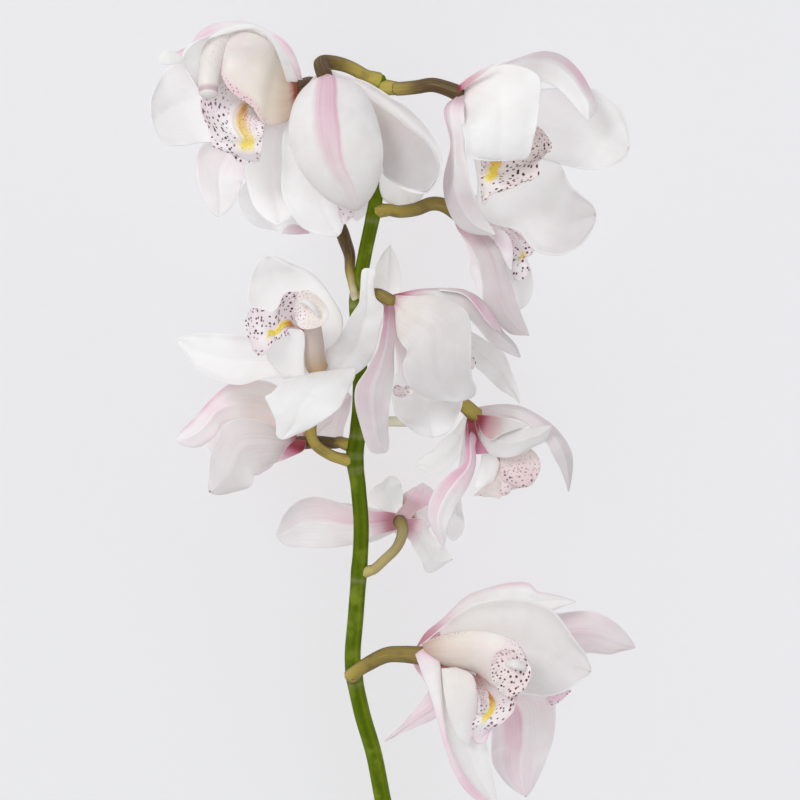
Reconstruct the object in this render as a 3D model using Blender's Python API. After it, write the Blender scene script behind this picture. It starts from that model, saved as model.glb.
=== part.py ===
"""Cymbidium orchid: one cut flower stem with eleven blooms, lying on a flat surface.

The stem lies along Y with its cut end at -Y, and the surface is z = 0. Shapes are given in
millimetres on a drawing whose x runs across the stem and whose y runs along it; DRAWING_ORIGIN
moves the drawing so that the part's own origin is under the middle of its box.

Every petal and sepal is a blade: a midrib through a few rows, each row being
(x, y, z, width, roll, curl). Roll turns the row about the midrib in degrees, from lying flat
with its face up, and curl is the angle that the row bends through from edge to edge, so that
a positive curl raises both edges.
"""

import math

import bmesh
import bpy
import numpy as np
from mathutils import Vector

MM = 0.001
DRAWING_ORIGIN = (-3.61, -79.14, 0.0)

BLADE_THICKNESS = 0.9
BLADE_STEPS = 6
BLADE_COLUMNS = 4
BLADE_ROOT_WIDTH = 7.0
BLADE_ROOT_START = 0.6
BLADE_ROOT_STEP = 0.35
BLADE_WAVE = 0.9
BLADE_KEEL = 0.7

LIP_THICKNESS = 0.8
LIP_STEPS = 8
LIP_COLUMNS = 6
LIP_WAVE = 1.8
LIP_ROOT_WIDTH = 4.0
LIP_ROOT_DEPTH = 1.0
LIP_ROOT_OFFSET = 4.2
RELIEF_WIDTH = 12.0
CALLUS_HEIGHT = 1.4

HUB_RADIUS = 4.0
HUB_SEGMENTS = 7
HUB_RINGS = 5
COLUMN_RADII = (2.7, 2.9, 3.3, 3.5)
COLUMN_TIP_RADIUS = 1.8
COLUMN_SIDES = 6
COLUMN_RINGS = 5
PIECE_GAP = 0.65
TABLE_BLEND = 1.2
SNAP_HEIGHT = 0.12

STEM_SIDES = 9
STEM_RINGS = 32
STALK_SIDES = 6
STALK_RINGS = 9
STALK_LEAD = 1.5
KNOB_LENGTH = 1.6
KNOB_FLARE = 0.35
DENSE_STEPS = 12
MERGE_DISTANCE = 0.02

# Stem rows: x, y, z, radius, from the cut end to the top.
STEM_ROWS = (
    (-4.0, -326.0, 3.95, 3.7),
    (-3.5, -300.0, 4.1, 3.7),
    (-3.0, -268.0, 8.0, 3.7),
    (-2.5, -232.0, 19.0, 3.7),
    (-3.5, -200.0, 28.0, 3.65),
    (-8.1, -175.0, 34.0, 3.65),
    (-11.8, -156.0, 38.5, 3.6),
    (-17.2, -137.0, 42.0, 3.6),
    (-20.9, -116.0, 45.0, 3.55),
    (-19.5, -94.0, 47.0, 3.5),
    (-17.2, -60.0, 49.0, 3.4),
    (-18.3, -40.0, 50.0, 3.4),
    (-20.0, -25.0, 50.0, 3.6),
    (-18.4, -12.0, 50.0, 3.4),
    (-17.6, 10.0, 50.0, 3.3),
    (-18.9, 31.0, 50.0, 3.2),
    (-18.7, 46.0, 50.0, 3.3),
    (-15.6, 64.0, 50.0, 3.1),
    (-11.8, 82.0, 50.0, 3.1),
    (-9.4, 98.0, 50.0, 2.7),
    (-8.6, 118.0, 50.0, 2.6),
    (-8.8, 137.0, 50.0, 2.9),
)


def blade(outer_up, blunt, *rows):
    """One petal or sepal: outer_up is 1 if its outer face looks up, and blunt shapes its tip."""
    return {"outer_up": outer_up, "blunt": blunt, "rows": rows[:-1], "tip": rows[-1]}


# Each bloom: the middle of its base, the height on the stem and the direction in which its
# stalk leaves, the stalk's route with its radii, its blades, its lip and its column. A lip_offset
# is how far from the column's middle that lip begins.
BLOOMS = {
    "a": {
        "base": (-45, 137, 60),
        "stem_y": 112,
        "leaves": (-0.85, 0.4, -0.35),
        "stalk": ((-19, 121, 45, 2.4), (-30, 134, 45, 2.6), (-38, 139.5, 51, 2.9)),
        "blades": (
            blade(1, 0.8, (-51.5, 149, 58, 13, 10, -30), (-66, 156.5, 53, 28, 25, -60),
                  (-83, 155.5, 58, 23, 20, -50), (-98, 149, 64)),
            blade(-1, 0.55, (-51, 139, 55, 34, -20, 60), (-64, 142.5, 55, 44, -15, 90),
                  (-79, 146, 64, 40, 0, 90), (-91, 150, 74)),
            blade(-1, 0.5, (-64, 134, 50, 24, 0, 20), (-82, 132, 47, 38, 0, 15),
                  (-98, 130, 52, 37, 0, 20), (-110, 127, 58)),
            blade(-1, 0.7, (-62, 119, 46, 24, 0, 15), (-75, 107, 43, 32, 0, 20),
                  (-79, 95, 46, 27, 0, 20), (-77, 81, 51)),
            blade(-1, 0.8, (-53, 118, 51, 20, 0, 20), (-59, 104, 50, 25, 0, 20),
                  (-58, 90, 53, 24, 0, 10), (-46, 76, 58)),
        ),
        "lip": blade(-1, 0.5, (-58, 128, 64, 16, 0, 90), (-67, 125.5, 70, 23, 0, 100),
                     (-72, 122, 75, 29, 0, 80), (-70, 116, 81, 25, 0, 20),
                     (-69, 109, 80, 24, 0, -10), (-68, 103, 76)),
        "column": ((-58, 139.5, 71), (-70, 138, 78.5), (-82, 134, 83)),
    },
    "b": {
        "base": (-33, 142, 74),
        "stem_y": 134,
        "leaves": (-0.6, 0.8, 0.2),
        "stalk": ((-15, 143.5, 53, 2.7), (-22, 146.5, 57, 2.9), (-29, 148, 62, 3.1),
                  (-34.5, 147.5, 67, 3.2)),
        "blades": (
            blade(1, 0.85, (-32, 133, 85, 34, 0, -100), (-29, 115, 93, 48, 0, -110),
                  (-25, 98, 91, 41, 0, -100), (-18, 84, 84)),
            blade(-1, 0.5, (-37, 134, 68, 11, 0, 0), (-39, 120, 68, 22, 0, -30), (-39, 102, 70, 31, 0, -30),
                  (-36, 87, 70, 29, 0, -20), (-33, 71, 68)),
            blade(-1, 0.6, (-26, 138, 69, 10, 0, 20), (-14.5, 129.5, 67, 24, 0, 70),
                  (-2, 115.5, 68, 36, 0, 80), (6.5, 103, 70, 32, 0, 50), (13, 91, 73)),
            blade(-1, 0.7, (-19, 122, 62, 22, 0, 20), (-9, 104, 59, 24, 0, 20),
                  (-3, 94, 59, 18, 0, 10), (3, 87, 60)),
            blade(-1, 0.7, (-33, 120, 64, 20, 0, 20), (-33, 104, 62, 24, 0, 20),
                  (-32, 94, 62, 20, 0, 20), (-33, 84, 62)),
        ),
        "lip": blade(-1, 0.5, (-31, 126, 77, 14, 0, 60), (-30, 112, 78, 25, 0, 90),
                     (-29, 101, 77, 26, 0, 70), (-28, 91, 77, 20, 0, 20), (-26, 83, 74, 17, 0, -10),
                     (-24, 75, 71)),
        "column": ((-32, 128, 84.5), (-31, 118, 87), (-30, 109, 87)),
    },
    "c": {
        "base": (26, 134.5, 62),
        "stem_y": 134,
        "leaves": (1.0, 0.35, 0.1),
        "stalk": ((2, 137, 53, 2.8), (10, 138.5, 56, 3.0), (17, 138, 59, 3.2)),
        "blades": (
            blade(1, 0.85, (41, 144, 58, 20, -30, -40), (61, 147, 60, 26, -30, -50),
                  (77, 139, 64, 20, -30, -50), (83, 121, 67)),
            blade(-1, 0.25, (35, 137, 72, 22, 0, -40), (44, 128, 80, 35, 0, -50),
                  (44, 115, 81, 33, 0, -30), (43, 103, 77)),
            blade(-1, 0.6, (48, 130, 54, 24, 0, 20), (70, 124, 50, 36, 0, 20),
                  (87, 118, 52, 36, 0, 20), (101, 110, 56)),
            blade(-1, 0.5, (42, 113, 53, 26, 0, 10), (57, 94, 52, 38, 0, 15),
                  (73, 82.5, 53, 37, 0, 15), (87.5, 80, 56)),
            blade(1, 0.9, (23, 124, 68, 16, 45, -40), (24, 107, 70, 16, 45, -40),
                  (25, 92, 71, 18, 35, -40), (31, 81, 70, 17, 20, -30), (42, 73, 66)),
        ),
        "lip": blade(-1, 0.5, (37, 122, 62, 22, 0, 110), (48, 111, 64, 34, 0, 110),
                     (48, 103, 68, 32, 0, 50), (44, 96, 71, 24, 0, 10), (38, 87, 70)),
        "column": ((36, 129, 69), (45, 121, 71), (53, 115, 71)),
    },
    "d": {
        "base": (27, 81, 48),
        "stem_y": 83,
        "leaves": (1.0, 0.05, 0.15),
        "stalk": ((0, 83, 52, 2.7), (7, 84, 52, 2.9), (14, 86.5, 51, 3.0), (20, 85.5, 50, 3.1)),
        "blades": (
            blade(1, 0.85, (29.5, 74, 54, 9, 0, 0), (37, 66, 60, 14, 0, -30), (41.5, 54, 60, 17, 0, -30),
                  (46.5, 42, 59, 17, 0, -30), (57, 28, 56)),
            blade(-1, 0.6, (34, 66, 43, 10, 0, 10), (38, 55, 40, 15, 0, 10), (43, 41, 40)),
            blade(-1, 0.5, (40, 68, 42, 20, 0, 10), (48, 56, 40, 20, 0, 10), (53.5, 40, 42)),
            blade(-1, 0.5, (33, 75, 42.5, 10, 0, 0), (40, 70, 41, 16, 0, 10), (46, 62, 41, 16, 0, 10),
                  (50, 51, 42)),
            blade(-1, 0.5, (40, 83, 30, 24, 0, 10), (54, 84, 10, 30, 0, 0),
                  (66, 84, -2, 28, 0, 0), (78, 84, -3)),
        ),
        "lip": blade(-1, 0.5, (40, 78, 45.8, 10, 0, 60), (48, 72, 44, 18, 0, 70),
                     (53, 65, 48, 17, 0, 50), (54, 59, 51, 13, 0, 10), (53, 53, 50)),
        "column": ((33, 85, 55.5), (40, 84, 61), (47, 80.5, 64.5)),
    },
    "e": {
        "base": (-34, 9, 62),
        "stem_y": -27,
        "leaves": (-1.0, 0.0, 0.25),
        "stalk": ((-30.5, -25, 53, 2.7), (-37, -20, 54, 2.8), (-38.6, -13, 55, 2.9),
                  (-37, -5, 57, 3.0)),
        "blades": (
            blade(-1, 0.5, (-38, 26, 54, 29, 0, 30), (-47.5, 42, 52, 39, 0, 30),
                  (-55, 54, 55, 29, 0, 30), (-60, 64, 60)),
            blade(-1, 0.85, (-43, 11, 61.5, 10, 0, 0), (-54, 14, 62, 20, 0, 20), (-71, 18, 64, 25, 0, 20),
                  (-86, 21, 64, 18, 0, 20), (-98.5, 26, 64)),
            blade(-1, 0.45, (-38.5, 5, 75, 24, 0, -20), (-44, -1.5, 81, 27, 0, -20),
                  (-50, -10, 82, 20, 0, -10), (-54, -17.5, 80)),
            blade(-1, 0.5, (-26, 15, 67, 18, 0, -20), (-18, 28, 72, 22, 0, 20),
                  (-16, 42, 68, 9, 0, 20), (-14.5, 51, 68, 7.5, 0, 20), (-13.5, 58, 67)),
            blade(-1, 0.85, (-22, 26, 42, 14, 0, 10), (-9, 42, 38, 16, 0, 10),
                  (-4, 55, 38, 12, 0, 10), (-3, 69, 40)),
        ),
        "lip": blade(-1, 0.5, (-40, 20, 67, 13, 40, 90), (-45, 32, 74, 21, 30, 80),
                     (-53, 34, 81, 25, 0, 40), (-60, 29, 85, 21, 0, 0), (-67, 26, 80)),
        "lip_offset": 3.45,
        "column": ((-33.5, 20, 72), (-35.5, 31, 80), (-39.5, 41, 85)),
    },
    "f": {
        "base": (-4, 43, 68),
        "stem_y": 46,
        "leaves": (0.75, 0.05, 0.65),
        "stalk": ((-12.6, 46.4, 57, 2.6), (-9.2, 46.2, 62, 2.8)),
        "blades": (
            blade(1, 0.85, (12, 45.5, 72, 12, -30, -40), (27, 42, 74, 22, -30, -60),
                  (40, 33, 73, 22, -30, -50), (52, 19, 69)),
            blade(-1, 0.3, (8, 37, 83, 26, 0, -40), (17, 23, 87, 33, 0, -45),
                  (19, 10, 86, 30, 0, -30), (19, -2, 82)),
            blade(1, 0.45, (-5, 36, 75, 7, 0, 0), (-6.5, 27, 81, 9, 0, -30), (-10, 12, 84, 13, 0, -40),
                  (-12, -3, 83, 17, 0, -40), (-11, -15, 80, 13, 0, -30), (-10, -23, 77)),
            blade(-1, 0.45, (5, 20, 63, 22, 0, 10), (11, 3, 63, 28, 0, 15),
                  (13, -8, 65, 25, 0, 10), (14, -17, 66)),
            blade(-1, 0.9, (16, 32, 61, 20, 0, 10), (33, 22, 58, 20, 0, 10),
                  (45, 11, 59, 13, 0, 10), (52, -2, 61)),
        ),
        "lip": blade(-1, 0.5, (4, 31, 69, 14, 0, 80), (10, 22, 72, 26, 0, 70),
                     (15, 13, 75, 36, 0, 30), (19, 4, 74)),
        "column": ((3, 36, 77), (8, 28, 80), (12, 20, 81)),
    },
    "g": {
        "base": (-44.5, -19, 44),
        "stem_y": -21,
        "leaves": (-0.9, 0.3, -0.35),
        "stalk": ((-29, -19, 47, 2.5), (-36, -18.5, 47.5, 2.7)),
        "blades": (
            blade(1, 0.85, (-57, -4, 45, 24, 0, -40), (-73, -3, 47, 21, 0, -50),
                  (-86, -10.5, 46, 16, 0, -50), (-99, -19, 44)),
            blade(1, 0.4, (-57, -18.5, 56, 21, 0, -50), (-68, -22, 60, 30, 0, -50),
                  (-74.5, -32, 59, 25, 0, -50), (-80.5, -42.5, 55)),
            blade(1, 0.8, (-52, -20, 41, 10, 0, -20), (-60, -22, 36, 13, 0, -20), (-71, -27, 34)),
            blade(-1, 0.5, (-40, -13, 37, 13, 0, 10), (-31, -5, 34, 22, 0, 10), (-23, 4, 35)),
            blade(1, 0.5, (-45.5, -9.5, 31, 8, 0, 0), (-60, -11, 17, 25, 0, 0), (-71, -14, 5, 26, 0, 0),
                  (-79, -16, -3, 21, 0, 0), (-88, -17, -3)),
        ),
        "lip": blade(1, 0.5, (-54, -20.5, 33, 9, 0, -40), (-60, -22, 28.5, 16, 0, -60),
                     (-67, -26, 25, 17, 0, -40), (-74, -31, 22)),
        "column": ((-51, -15, 41), (-57, -13, 38), (-62, -12, 34)),
    },
    "h": {
        "base": (33, -6.5, 50),
        "stem_y": -12,
        "leaves": (0.9, 0.2, -0.4),
        "stalk": ((-6, -9.5, 43, 2.2), (7, -9, 42, 2.4), (19, -4, 46, 2.8), (26.5, -1.5, 52, 3.1)),
        "blades": (
            blade(1, 0.9, (50, -6.5, 55, 14, -20, -50), (63.5, -13, 57, 16, -20, -60),
                  (71.5, -24.5, 56, 11, -10, -50), (74, -40, 53)),
            blade(1, 0.6, (45, -14, 56, 18, 0, -60), (57, -17, 57, 15, 0, -40), (67, -18, 55)),
            blade(1, 0.85, (32.5, -20, 58, 11, 0, -40), (27, -34, 63, 19, 0, -50),
                  (20.5, -46, 63, 18, 0, -50), (18, -56, 62, 12, 0, -40), (20, -64.5, 59)),
            blade(-1, 0.6, (28, -13, 42, 10, 0, 0), (20, -22, 39, 15, 0, 10), (7.5, -32.5, 40)),
            blade(-1, 0.5, (29, -26, 27, 12, 0, 0), (25.5, -40, 10, 13, 0, 0),
                  (23.5, -51, -3, 14, 0, 0), (24, -64, -3)),
        ),
        "lip": blade(1, 0.4, (43, -20, 47, 18, 0, -70), (48, -27, 47, 27, 0, -60),
                     (49.5, -33, 46, 27, 0, -40), (48.5, -41, 43)),
        "column": ((38, -15, 43), (43, -22, 40), (47, -29, 39)),
    },
    "i": {
        "base": (0, -54, 34),
        "stem_y": -75.5,
        "leaves": (1.0, 0.35, 0.3),
        "stalk": ((-7, -70.5, 53, 2.6), (-1.5, -65, 51, 2.7), (1.2, -58.5, 46, 2.9),
                  (0.5, -55, 41, 3.2)),
        "blades": (
            blade(1, 0.7, (-15, -54, 31, 18, 0, -30), (-32, -54.5, 30, 25, 0, -40),
                  (-45, -57, 29, 20, 0, -40), (-54.5, -62, 27)),
            blade(1, 0.5, (-4.5, -46, 27, 12, 0, -20), (-7.5, -40, 23, 14, 0, -20), (-7.5, -33, 20)),
            blade(1, 0.5, (4.5, -45, 29, 11, 0, -20), (7.5, -41, 27, 12, 0, -20), (9.5, -35.5, 24)),
            blade(1, 0.45, (8, -61, 30, 17, 0, -20), (13, -68, 28, 20, 0, -20), (18, -77, 24)),
            blade(1, 0.5, (-13, -55.5, 15, 16, 0, 0), (-25, -55.5, 2, 19, 0, 0),
                  (-34, -56, -3, 18, 0, 0), (-42, -56, -3)),
        ),
        "lip": blade(1, 0.5, (5, -50, 27, 14, 0, -80), (9, -49, 20, 22, 0, -80),
                     (13, -51, 14, 20, 0, -30), (17, -54, 11)),
        "lip_offset": 3.25,
        "column": ((-1, -59, 27), (1, -62, 21), (4, -64, 16)),
    },
    "j": {
        "base": (8.5, -112, 66),
        "stem_y": -121.5,
        "leaves": (-0.15, -0.05, 1.0),
        "stalk": ((-21.5, -121, 52.5, 2.9), (-14, -116, 57, 3.2), (-6, -112, 61, 3.4),
                  (1.5, -111.5, 64, 3.6)),
        "blades": (
            blade(1, 0.85, (22, -100, 61, 20, -20, -40), (40, -92, 59, 25, -20, -50),
                  (60, -89.5, 59, 16, -20, -40), (77, -89.5, 60)),
            blade(-1, 0.6, (17, -106, 64, 10, 0, 0), (28, -102, 69, 28, 20, 20), (48, -105, 72, 42, 0, 20),
                  (67, -110, 74, 38, 0, 20), (84, -120, 74)),
            blade(1, 0.8, (40, -108, 54, 18, 0, -30), (70, -103, 54, 20, 0, -50),
                  (86, -103, 55, 20, 0, -50), (103, -109.5, 56)),
            blade(1, 0.75, (34, -124, 62, 22, 0, -30), (51, -136, 64, 30, 0, -50),
                  (54, -155, 64, 30, 0, -50), (55, -174.5, 61)),
            blade(-1, 0.85, (10, -120, 67, 9, 0, 0), (15.5, -128, 72, 15, 0, 30), (23, -140, 77, 22, 0, 30),
                  (30, -156, 76, 23, 0, 30), (37, -170, 72, 17, 0, 30), (46, -182, 67)),
            blade(1, 0.9, (13, -126, 58, 13, 0, -20), (8, -138, 56, 14, 0, -40), (-7, -150, 54)),
        ),
        "lip": blade(-1, 0.5, (21, -117, 73, 17, -40, 100), (34, -119, 78, 28, -40, 100),
                     (42, -126, 84, 28, -10, 50), (42, -134, 87, 21, 0, 0), (37, -144, 83)),
        "lip_offset": 3.4,
        "column": ((20, -106, 77), (34, -107, 84), (47, -113, 90)),
    },
    "l": {
        "base": (-31, 83, 34),
        "stem_y": 42,
        "leaves": (-0.75, 0.5, -0.4),
        "stalk": ((-24, 51, 45, 2.5), (-23.6, 62, 42, 2.7), (-26, 74, 38, 3.0)),
        "blades": (
            blade(1, 0.6, (-46, 94, 20, 19, 0, 0), (-56, 104, 4, 27, 0, 0),
                  (-62, 113, -3, 26, 0, 0), (-70, 118, -3)),
            blade(1, 0.6, (-35, 101, 16, 22, 0, 0), (-34, 118, 12, 28, 0, 0), (-32, 136, 11)),
            blade(1, 0.6, (-18, 95, 26, 20, 0, 0), (-6, 104, 20, 24, 0, 0), (6, 110, 18)),
            blade(1, 0.6, (-46, 86, 26, 22, 0, 0), (-58, 89, 20, 26, 0, 0), (-72, 92, 18)),
            blade(1, 0.6, (-40, 80, 35, 16, 0, -20), (-48, 79, 34, 14, 0, -20), (-55, 76, 34)),
        ),
        "lip": blade(-1, 0.5, (-31, 94, 40, 10, 0, 40), (-31, 100, 42, 15, 0, 40),
                     (-31, 106, 43, 15, 0, 20), (-31, 112, 43)),
        "lip_offset": 3.05,
        "column": ((-30, 92, 32), (-29, 100, 31), (-28, 107, 30)),
    },
}


def clear_scene():
    """Remove every object, so that the file can be run again."""
    for thing in list(bpy.data.objects):
        bpy.data.objects.remove(thing)


def material(name, colour, roughness):
    """A plain Principled BSDF material."""
    made = bpy.data.materials.new(name)
    made.use_nodes = True
    shader = made.node_tree.nodes["Principled BSDF"]
    shader.inputs["Base Color"].default_value = (*colour, 1.0)
    shader.inputs["Roughness"].default_value = roughness
    shader.inputs["Metallic"].default_value = 0.0
    return made


def unit(vector):
    """The vector at length one."""
    return vector / np.linalg.norm(vector)


def smooth_rows(rows):
    """A smooth curve through the rows, as close rows with the place of each along them."""
    rows = np.asarray(rows, dtype=float)
    padded = np.vstack((2 * rows[0] - rows[1], rows, 2 * rows[-1] - rows[-2]))
    close = []
    places = []
    for start in range(len(rows) - 1):
        before, first, second, after = padded[start:start + 4]
        last = start == len(rows) - 2
        for t in np.linspace(0.0, 1.0, DENSE_STEPS, endpoint=last):
            close.append(0.5 * (2 * first + (second - before) * t
                                + (2 * before - 5 * first + 4 * second - after) * t ** 2
                                + (3 * first - before - 3 * second + after) * t ** 3))
            places.append(start + t)
    return np.array(close), np.array(places)


def even_rows(rows, count, crowding=1.0):
    """Count rows along the smooth curve, closer together near its end if crowding is over 1."""
    close, places = smooth_rows(rows)
    lengths = np.linalg.norm(np.diff(close[:, :3], axis=0), axis=1)
    along = np.concatenate(([0.0], np.cumsum(lengths)))
    wanted = along[-1] * (1.0 - (1.0 - np.linspace(0.0, 1.0, count)) ** crowding)
    picked = np.column_stack([np.interp(wanted, along, column) for column in close.T])
    tangents = np.gradient(close[:, :3], along, axis=0)
    tangents = np.column_stack([np.interp(wanted, along, column) for column in tangents.T])
    return picked, np.interp(wanted, along, places), tangents


def above_table(height, half_thickness):
    """The height, eased so that it never comes under half a blade's thickness."""
    rise = height - half_thickness
    if rise > TABLE_BLEND:
        return height
    if rise < -TABLE_BLEND:
        return half_thickness
    return half_thickness + (rise + TABLE_BLEND) ** 2 / (4 * TABLE_BLEND)


def sheet_points(root, root_width, shape, steps, columns, relief, half_thickness):
    """The points of a blade's middle surface, one list for each step from root to tip."""
    rows = [(*row,) for row in shape["rows"]]
    full = [(*root, root_width, rows[0][4], 0.5 * rows[0][5])] + rows
    full.append((*shape["tip"], *rows[-1][3:]))
    picked, places, tangents = even_rows(full, steps + 1, 1.25)
    last_span = len(full) - 2
    surface = []
    for step in range(steps + 1):
        middle = picked[step, :3]
        width, roll, curl = picked[step, 3:]
        beyond = min(max(places[step] - last_span, 0.0), 1.0)
        width = width * max(1.0 - beyond ** 2, 0.0) ** shape["blunt"]
        forward = unit(tangents[step])
        flat_side = unit(np.cross((0.0, 0.0, 1.0), forward))
        flat_up = np.cross(forward, flat_side)
        turn = math.radians(roll)
        side = flat_side * math.cos(turn) + flat_up * math.sin(turn)
        up = flat_up * math.cos(turn) - flat_side * math.sin(turn)
        bend = math.radians(curl)
        along = step / steps
        line = []
        for column in range(columns + 1):
            across = 2.0 * column / columns - 1.0
            if abs(bend) < 0.001:
                offset = side * (across * width / 2)
            else:
                radius = width / bend
                angle = across * bend / 2
                offset = side * (radius * math.sin(angle)) + up * (radius * (1 - math.cos(angle)))
            lift = relief(along, across, shape["outer_up"]) * min(width / RELIEF_WIDTH, 1.0)
            point = middle + offset + up * lift
            point[2] = above_table(point[2], half_thickness)
            line.append(point)
        surface.append(line)
    return surface


def blade_height(along, across, outer_up):
    """The keel along a blade's outer side, and the slow waves of its edges."""
    keel = BLADE_KEEL * outer_up * max(0.0, 1.0 - 2.0 * abs(across))
    wave = BLADE_WAVE * abs(across) ** 3 * math.sin(9.0 * along + 2.2 * math.copysign(1.0, across))
    return keel + wave


def lip_height(along, across, outer_up):
    """The callus along the middle of a lip's inner side, and its ruffled edges."""
    callus = -CALLUS_HEIGHT * outer_up * max(0.0, 1.0 - 3.0 * abs(across))
    callus *= max(0.0, 1.0 - (3.0 * (along - 0.5)) ** 2)
    wave = LIP_WAVE * along * abs(across) ** 3 * math.sin(19.0 * along + 1.5 * across)
    return callus + wave


def lip_root(bloom):
    """Where a lip begins: beside the foot of the column, on the side that the lip lies on."""
    base = np.array(bloom["base"], dtype=float)
    column_way = unit(np.array(bloom["column"][0], dtype=float) - base)
    lip_way = np.array(bloom["lip"]["rows"][0][:3], dtype=float) - base
    below = unit(lip_way - column_way * np.dot(lip_way, column_way))
    offset = bloom.get("lip_offset", LIP_ROOT_OFFSET)
    return base + column_way * (HUB_RADIUS + LIP_ROOT_DEPTH) + below * offset


def in_metres(point):
    """A drawing point in metres, in the part's own frame."""
    return Vector([(value - origin) * MM for value, origin in zip(point, DRAWING_ORIGIN)])


def finished_mesh(shape, name):
    """Write a bmesh to a mesh and free it."""
    mesh = bpy.data.meshes.new(name)
    shape.to_mesh(mesh)
    shape.free()
    return mesh


def add_object(mesh, name, look=None):
    """Put a mesh in the scene as an object."""
    thing = bpy.data.objects.new(name, mesh)
    bpy.context.scene.collection.objects.link(thing)
    if look is not None:
        mesh.materials.clear()
        mesh.materials.append(look)
    return thing


def grid_shape(surface):
    """A bmesh grid laid over rows of points, with the tip's equal points made one."""
    steps = len(surface)
    columns = len(surface[0])
    shape = bmesh.new()
    bmesh.ops.create_grid(shape, x_segments=columns - 1, y_segments=steps - 1, size=0.5)
    for vertex in shape.verts:
        column = round((vertex.co.x + 0.5) * (columns - 1))
        step = round((vertex.co.y + 0.5) * (steps - 1))
        vertex.co = in_metres(surface[step][column])
    bmesh.ops.remove_doubles(shape, verts=shape.verts, dist=MERGE_DISTANCE * MM)
    bmesh.ops.triangulate(shape, faces=shape.faces)
    return shape


def thick_sheet(surface, thickness, name):
    """A closed blade of even thickness round the surface, pressed flat where it meets z = 0."""
    thing = add_object(finished_mesh(grid_shape(surface), name), name)
    wall = thing.modifiers.new("thickness", "SOLIDIFY")
    wall.thickness = thickness * MM
    wall.offset = 0.0
    mesh = applied(thing)
    for vertex in mesh.vertices:
        if vertex.co.z < SNAP_HEIGHT * MM:
            vertex.co.z = 0.0
    bpy.data.objects.remove(thing)
    return mesh


def applied(thing):
    """The object's mesh with its modifiers applied."""
    graph = bpy.context.evaluated_depsgraph_get()
    return bpy.data.meshes.new_from_object(thing.evaluated_get(graph))


def tube(rows, rings, sides, name):
    """A closed round tube along rows of x, y, z and radius."""
    picked, _, tangents = even_rows(rows, rings)
    side = np.array((1.0, 0.0, 0.0))
    if abs(unit(tangents[0])[0]) > 0.8:
        side = np.array((0.0, 1.0, 0.0))
    surface = []
    for row, tangent in zip(picked, tangents):
        forward = unit(tangent)
        side = unit(side - forward * np.dot(side, forward))
        up = np.cross(forward, side)
        ring = []
        for corner in range(sides):
            angle = 2 * math.pi * corner / sides
            ring.append(row[:3] + (side * math.cos(angle) + up * math.sin(angle)) * row[3])
        surface.append(ring)
    shape = bmesh.new()
    for ring in surface:
        corners = [shape.verts.new(in_metres(point)) for point in ring]
        loop = [shape.edges.new((corners[i], corners[i - 1])) for i in range(sides)]
        if ring is not surface[0]:
            bmesh.ops.bridge_loops(shape, edges=loop + before)
        before = loop
    bmesh.ops.holes_fill(shape, edges=shape.edges, sides=sides)
    bmesh.ops.recalc_face_normals(shape, faces=shape.faces)
    bmesh.ops.triangulate(shape, faces=shape.faces)
    return finished_mesh(shape, name)


def ball(centre, radius, name):
    """A closed ball."""
    shape = bmesh.new()
    bmesh.ops.create_uvsphere(shape, u_segments=HUB_SEGMENTS, v_segments=HUB_RINGS,
                              radius=radius * MM)
    bmesh.ops.translate(shape, verts=shape.verts, vec=in_metres(centre))
    return finished_mesh(shape, name)


def largest_body(mesh):
    """The mesh without loose scraps and without the shells of sealed hollows."""
    shape = bmesh.new()
    shape.from_mesh(mesh)
    groups = []
    unseen = set(shape.verts)
    while unseen:
        group = set()
        edge_of_group = [unseen.pop()]
        while edge_of_group:
            vertex = edge_of_group.pop()
            group.add(vertex)
            for edge in vertex.link_edges:
                other = edge.other_vert(vertex)
                if other in unseen:
                    unseen.remove(other)
                    edge_of_group.append(other)
        groups.append(group)
    largest = max(groups, key=len)
    loose = [vertex for vertex in shape.verts if vertex not in largest]
    bmesh.ops.delete(shape, geom=loose, context="VERTS")
    shape.to_mesh(mesh)
    shape.free()
    return mesh


def joined(meshes, name, look):
    """One closed body from overlapping meshes, by one Boolean union."""
    body = add_object(meshes[0], name, look)
    others = bpy.data.collections.new(name + "_pieces")
    bpy.context.scene.collection.children.link(others)
    for index, mesh in enumerate(meshes[1:]):
        piece = bpy.data.objects.new(f"{name}_piece_{index}", mesh)
        others.objects.link(piece)
    union = body.modifiers.new("union", "BOOLEAN")
    union.operation = "UNION"
    union.operand_type = "COLLECTION"
    union.collection = others
    union.solver = "MANIFOLD"
    mesh = largest_body(applied(body))
    for piece in list(others.objects):
        bpy.data.objects.remove(piece)
    bpy.data.collections.remove(others)
    bpy.data.objects.remove(body)
    mesh.name = name
    return add_object(mesh, name, look)


def stem_at(height):
    """The stem's centre, radius and direction at a height on the drawing."""
    close, _ = smooth_rows(STEM_ROWS)
    index = int(np.argmin(np.abs(close[:, 1] - height)))
    index = min(max(index, 1), len(close) - 2)
    return close[index, :3], close[index, 3], unit(close[index + 1, :3] - close[index - 1, :3])


def stalk_start(bloom):
    """Where a bloom's stalk begins, clear of the stem, with its direction and radius."""
    centre, stem_radius, stem_way = stem_at(bloom["stem_y"])
    way = unit(np.array(bloom["leaves"], dtype=float))
    radius = bloom["stalk"][0][3]
    lean = float(np.dot(way, stem_way))
    reach = (stem_radius + KNOB_LENGTH + radius * abs(lean)) / math.sqrt(1.0 - lean ** 2)
    return centre, way, radius, reach


def stem_object(look):
    """The stem with a short knob under each stalk, as one body."""
    meshes = [tube(STEM_ROWS, STEM_RINGS, STEM_SIDES, "stem_tube")]
    for name, bloom in BLOOMS.items():
        centre, way, radius, reach = stalk_start(bloom)
        end = centre + way * (reach - PIECE_GAP)
        rows = ((*centre, radius + KNOB_FLARE), (*end, radius + KNOB_FLARE))
        meshes.append(tube(rows, 2, STALK_SIDES, "knob_" + name))
    return joined(meshes, "stem", look)


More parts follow.
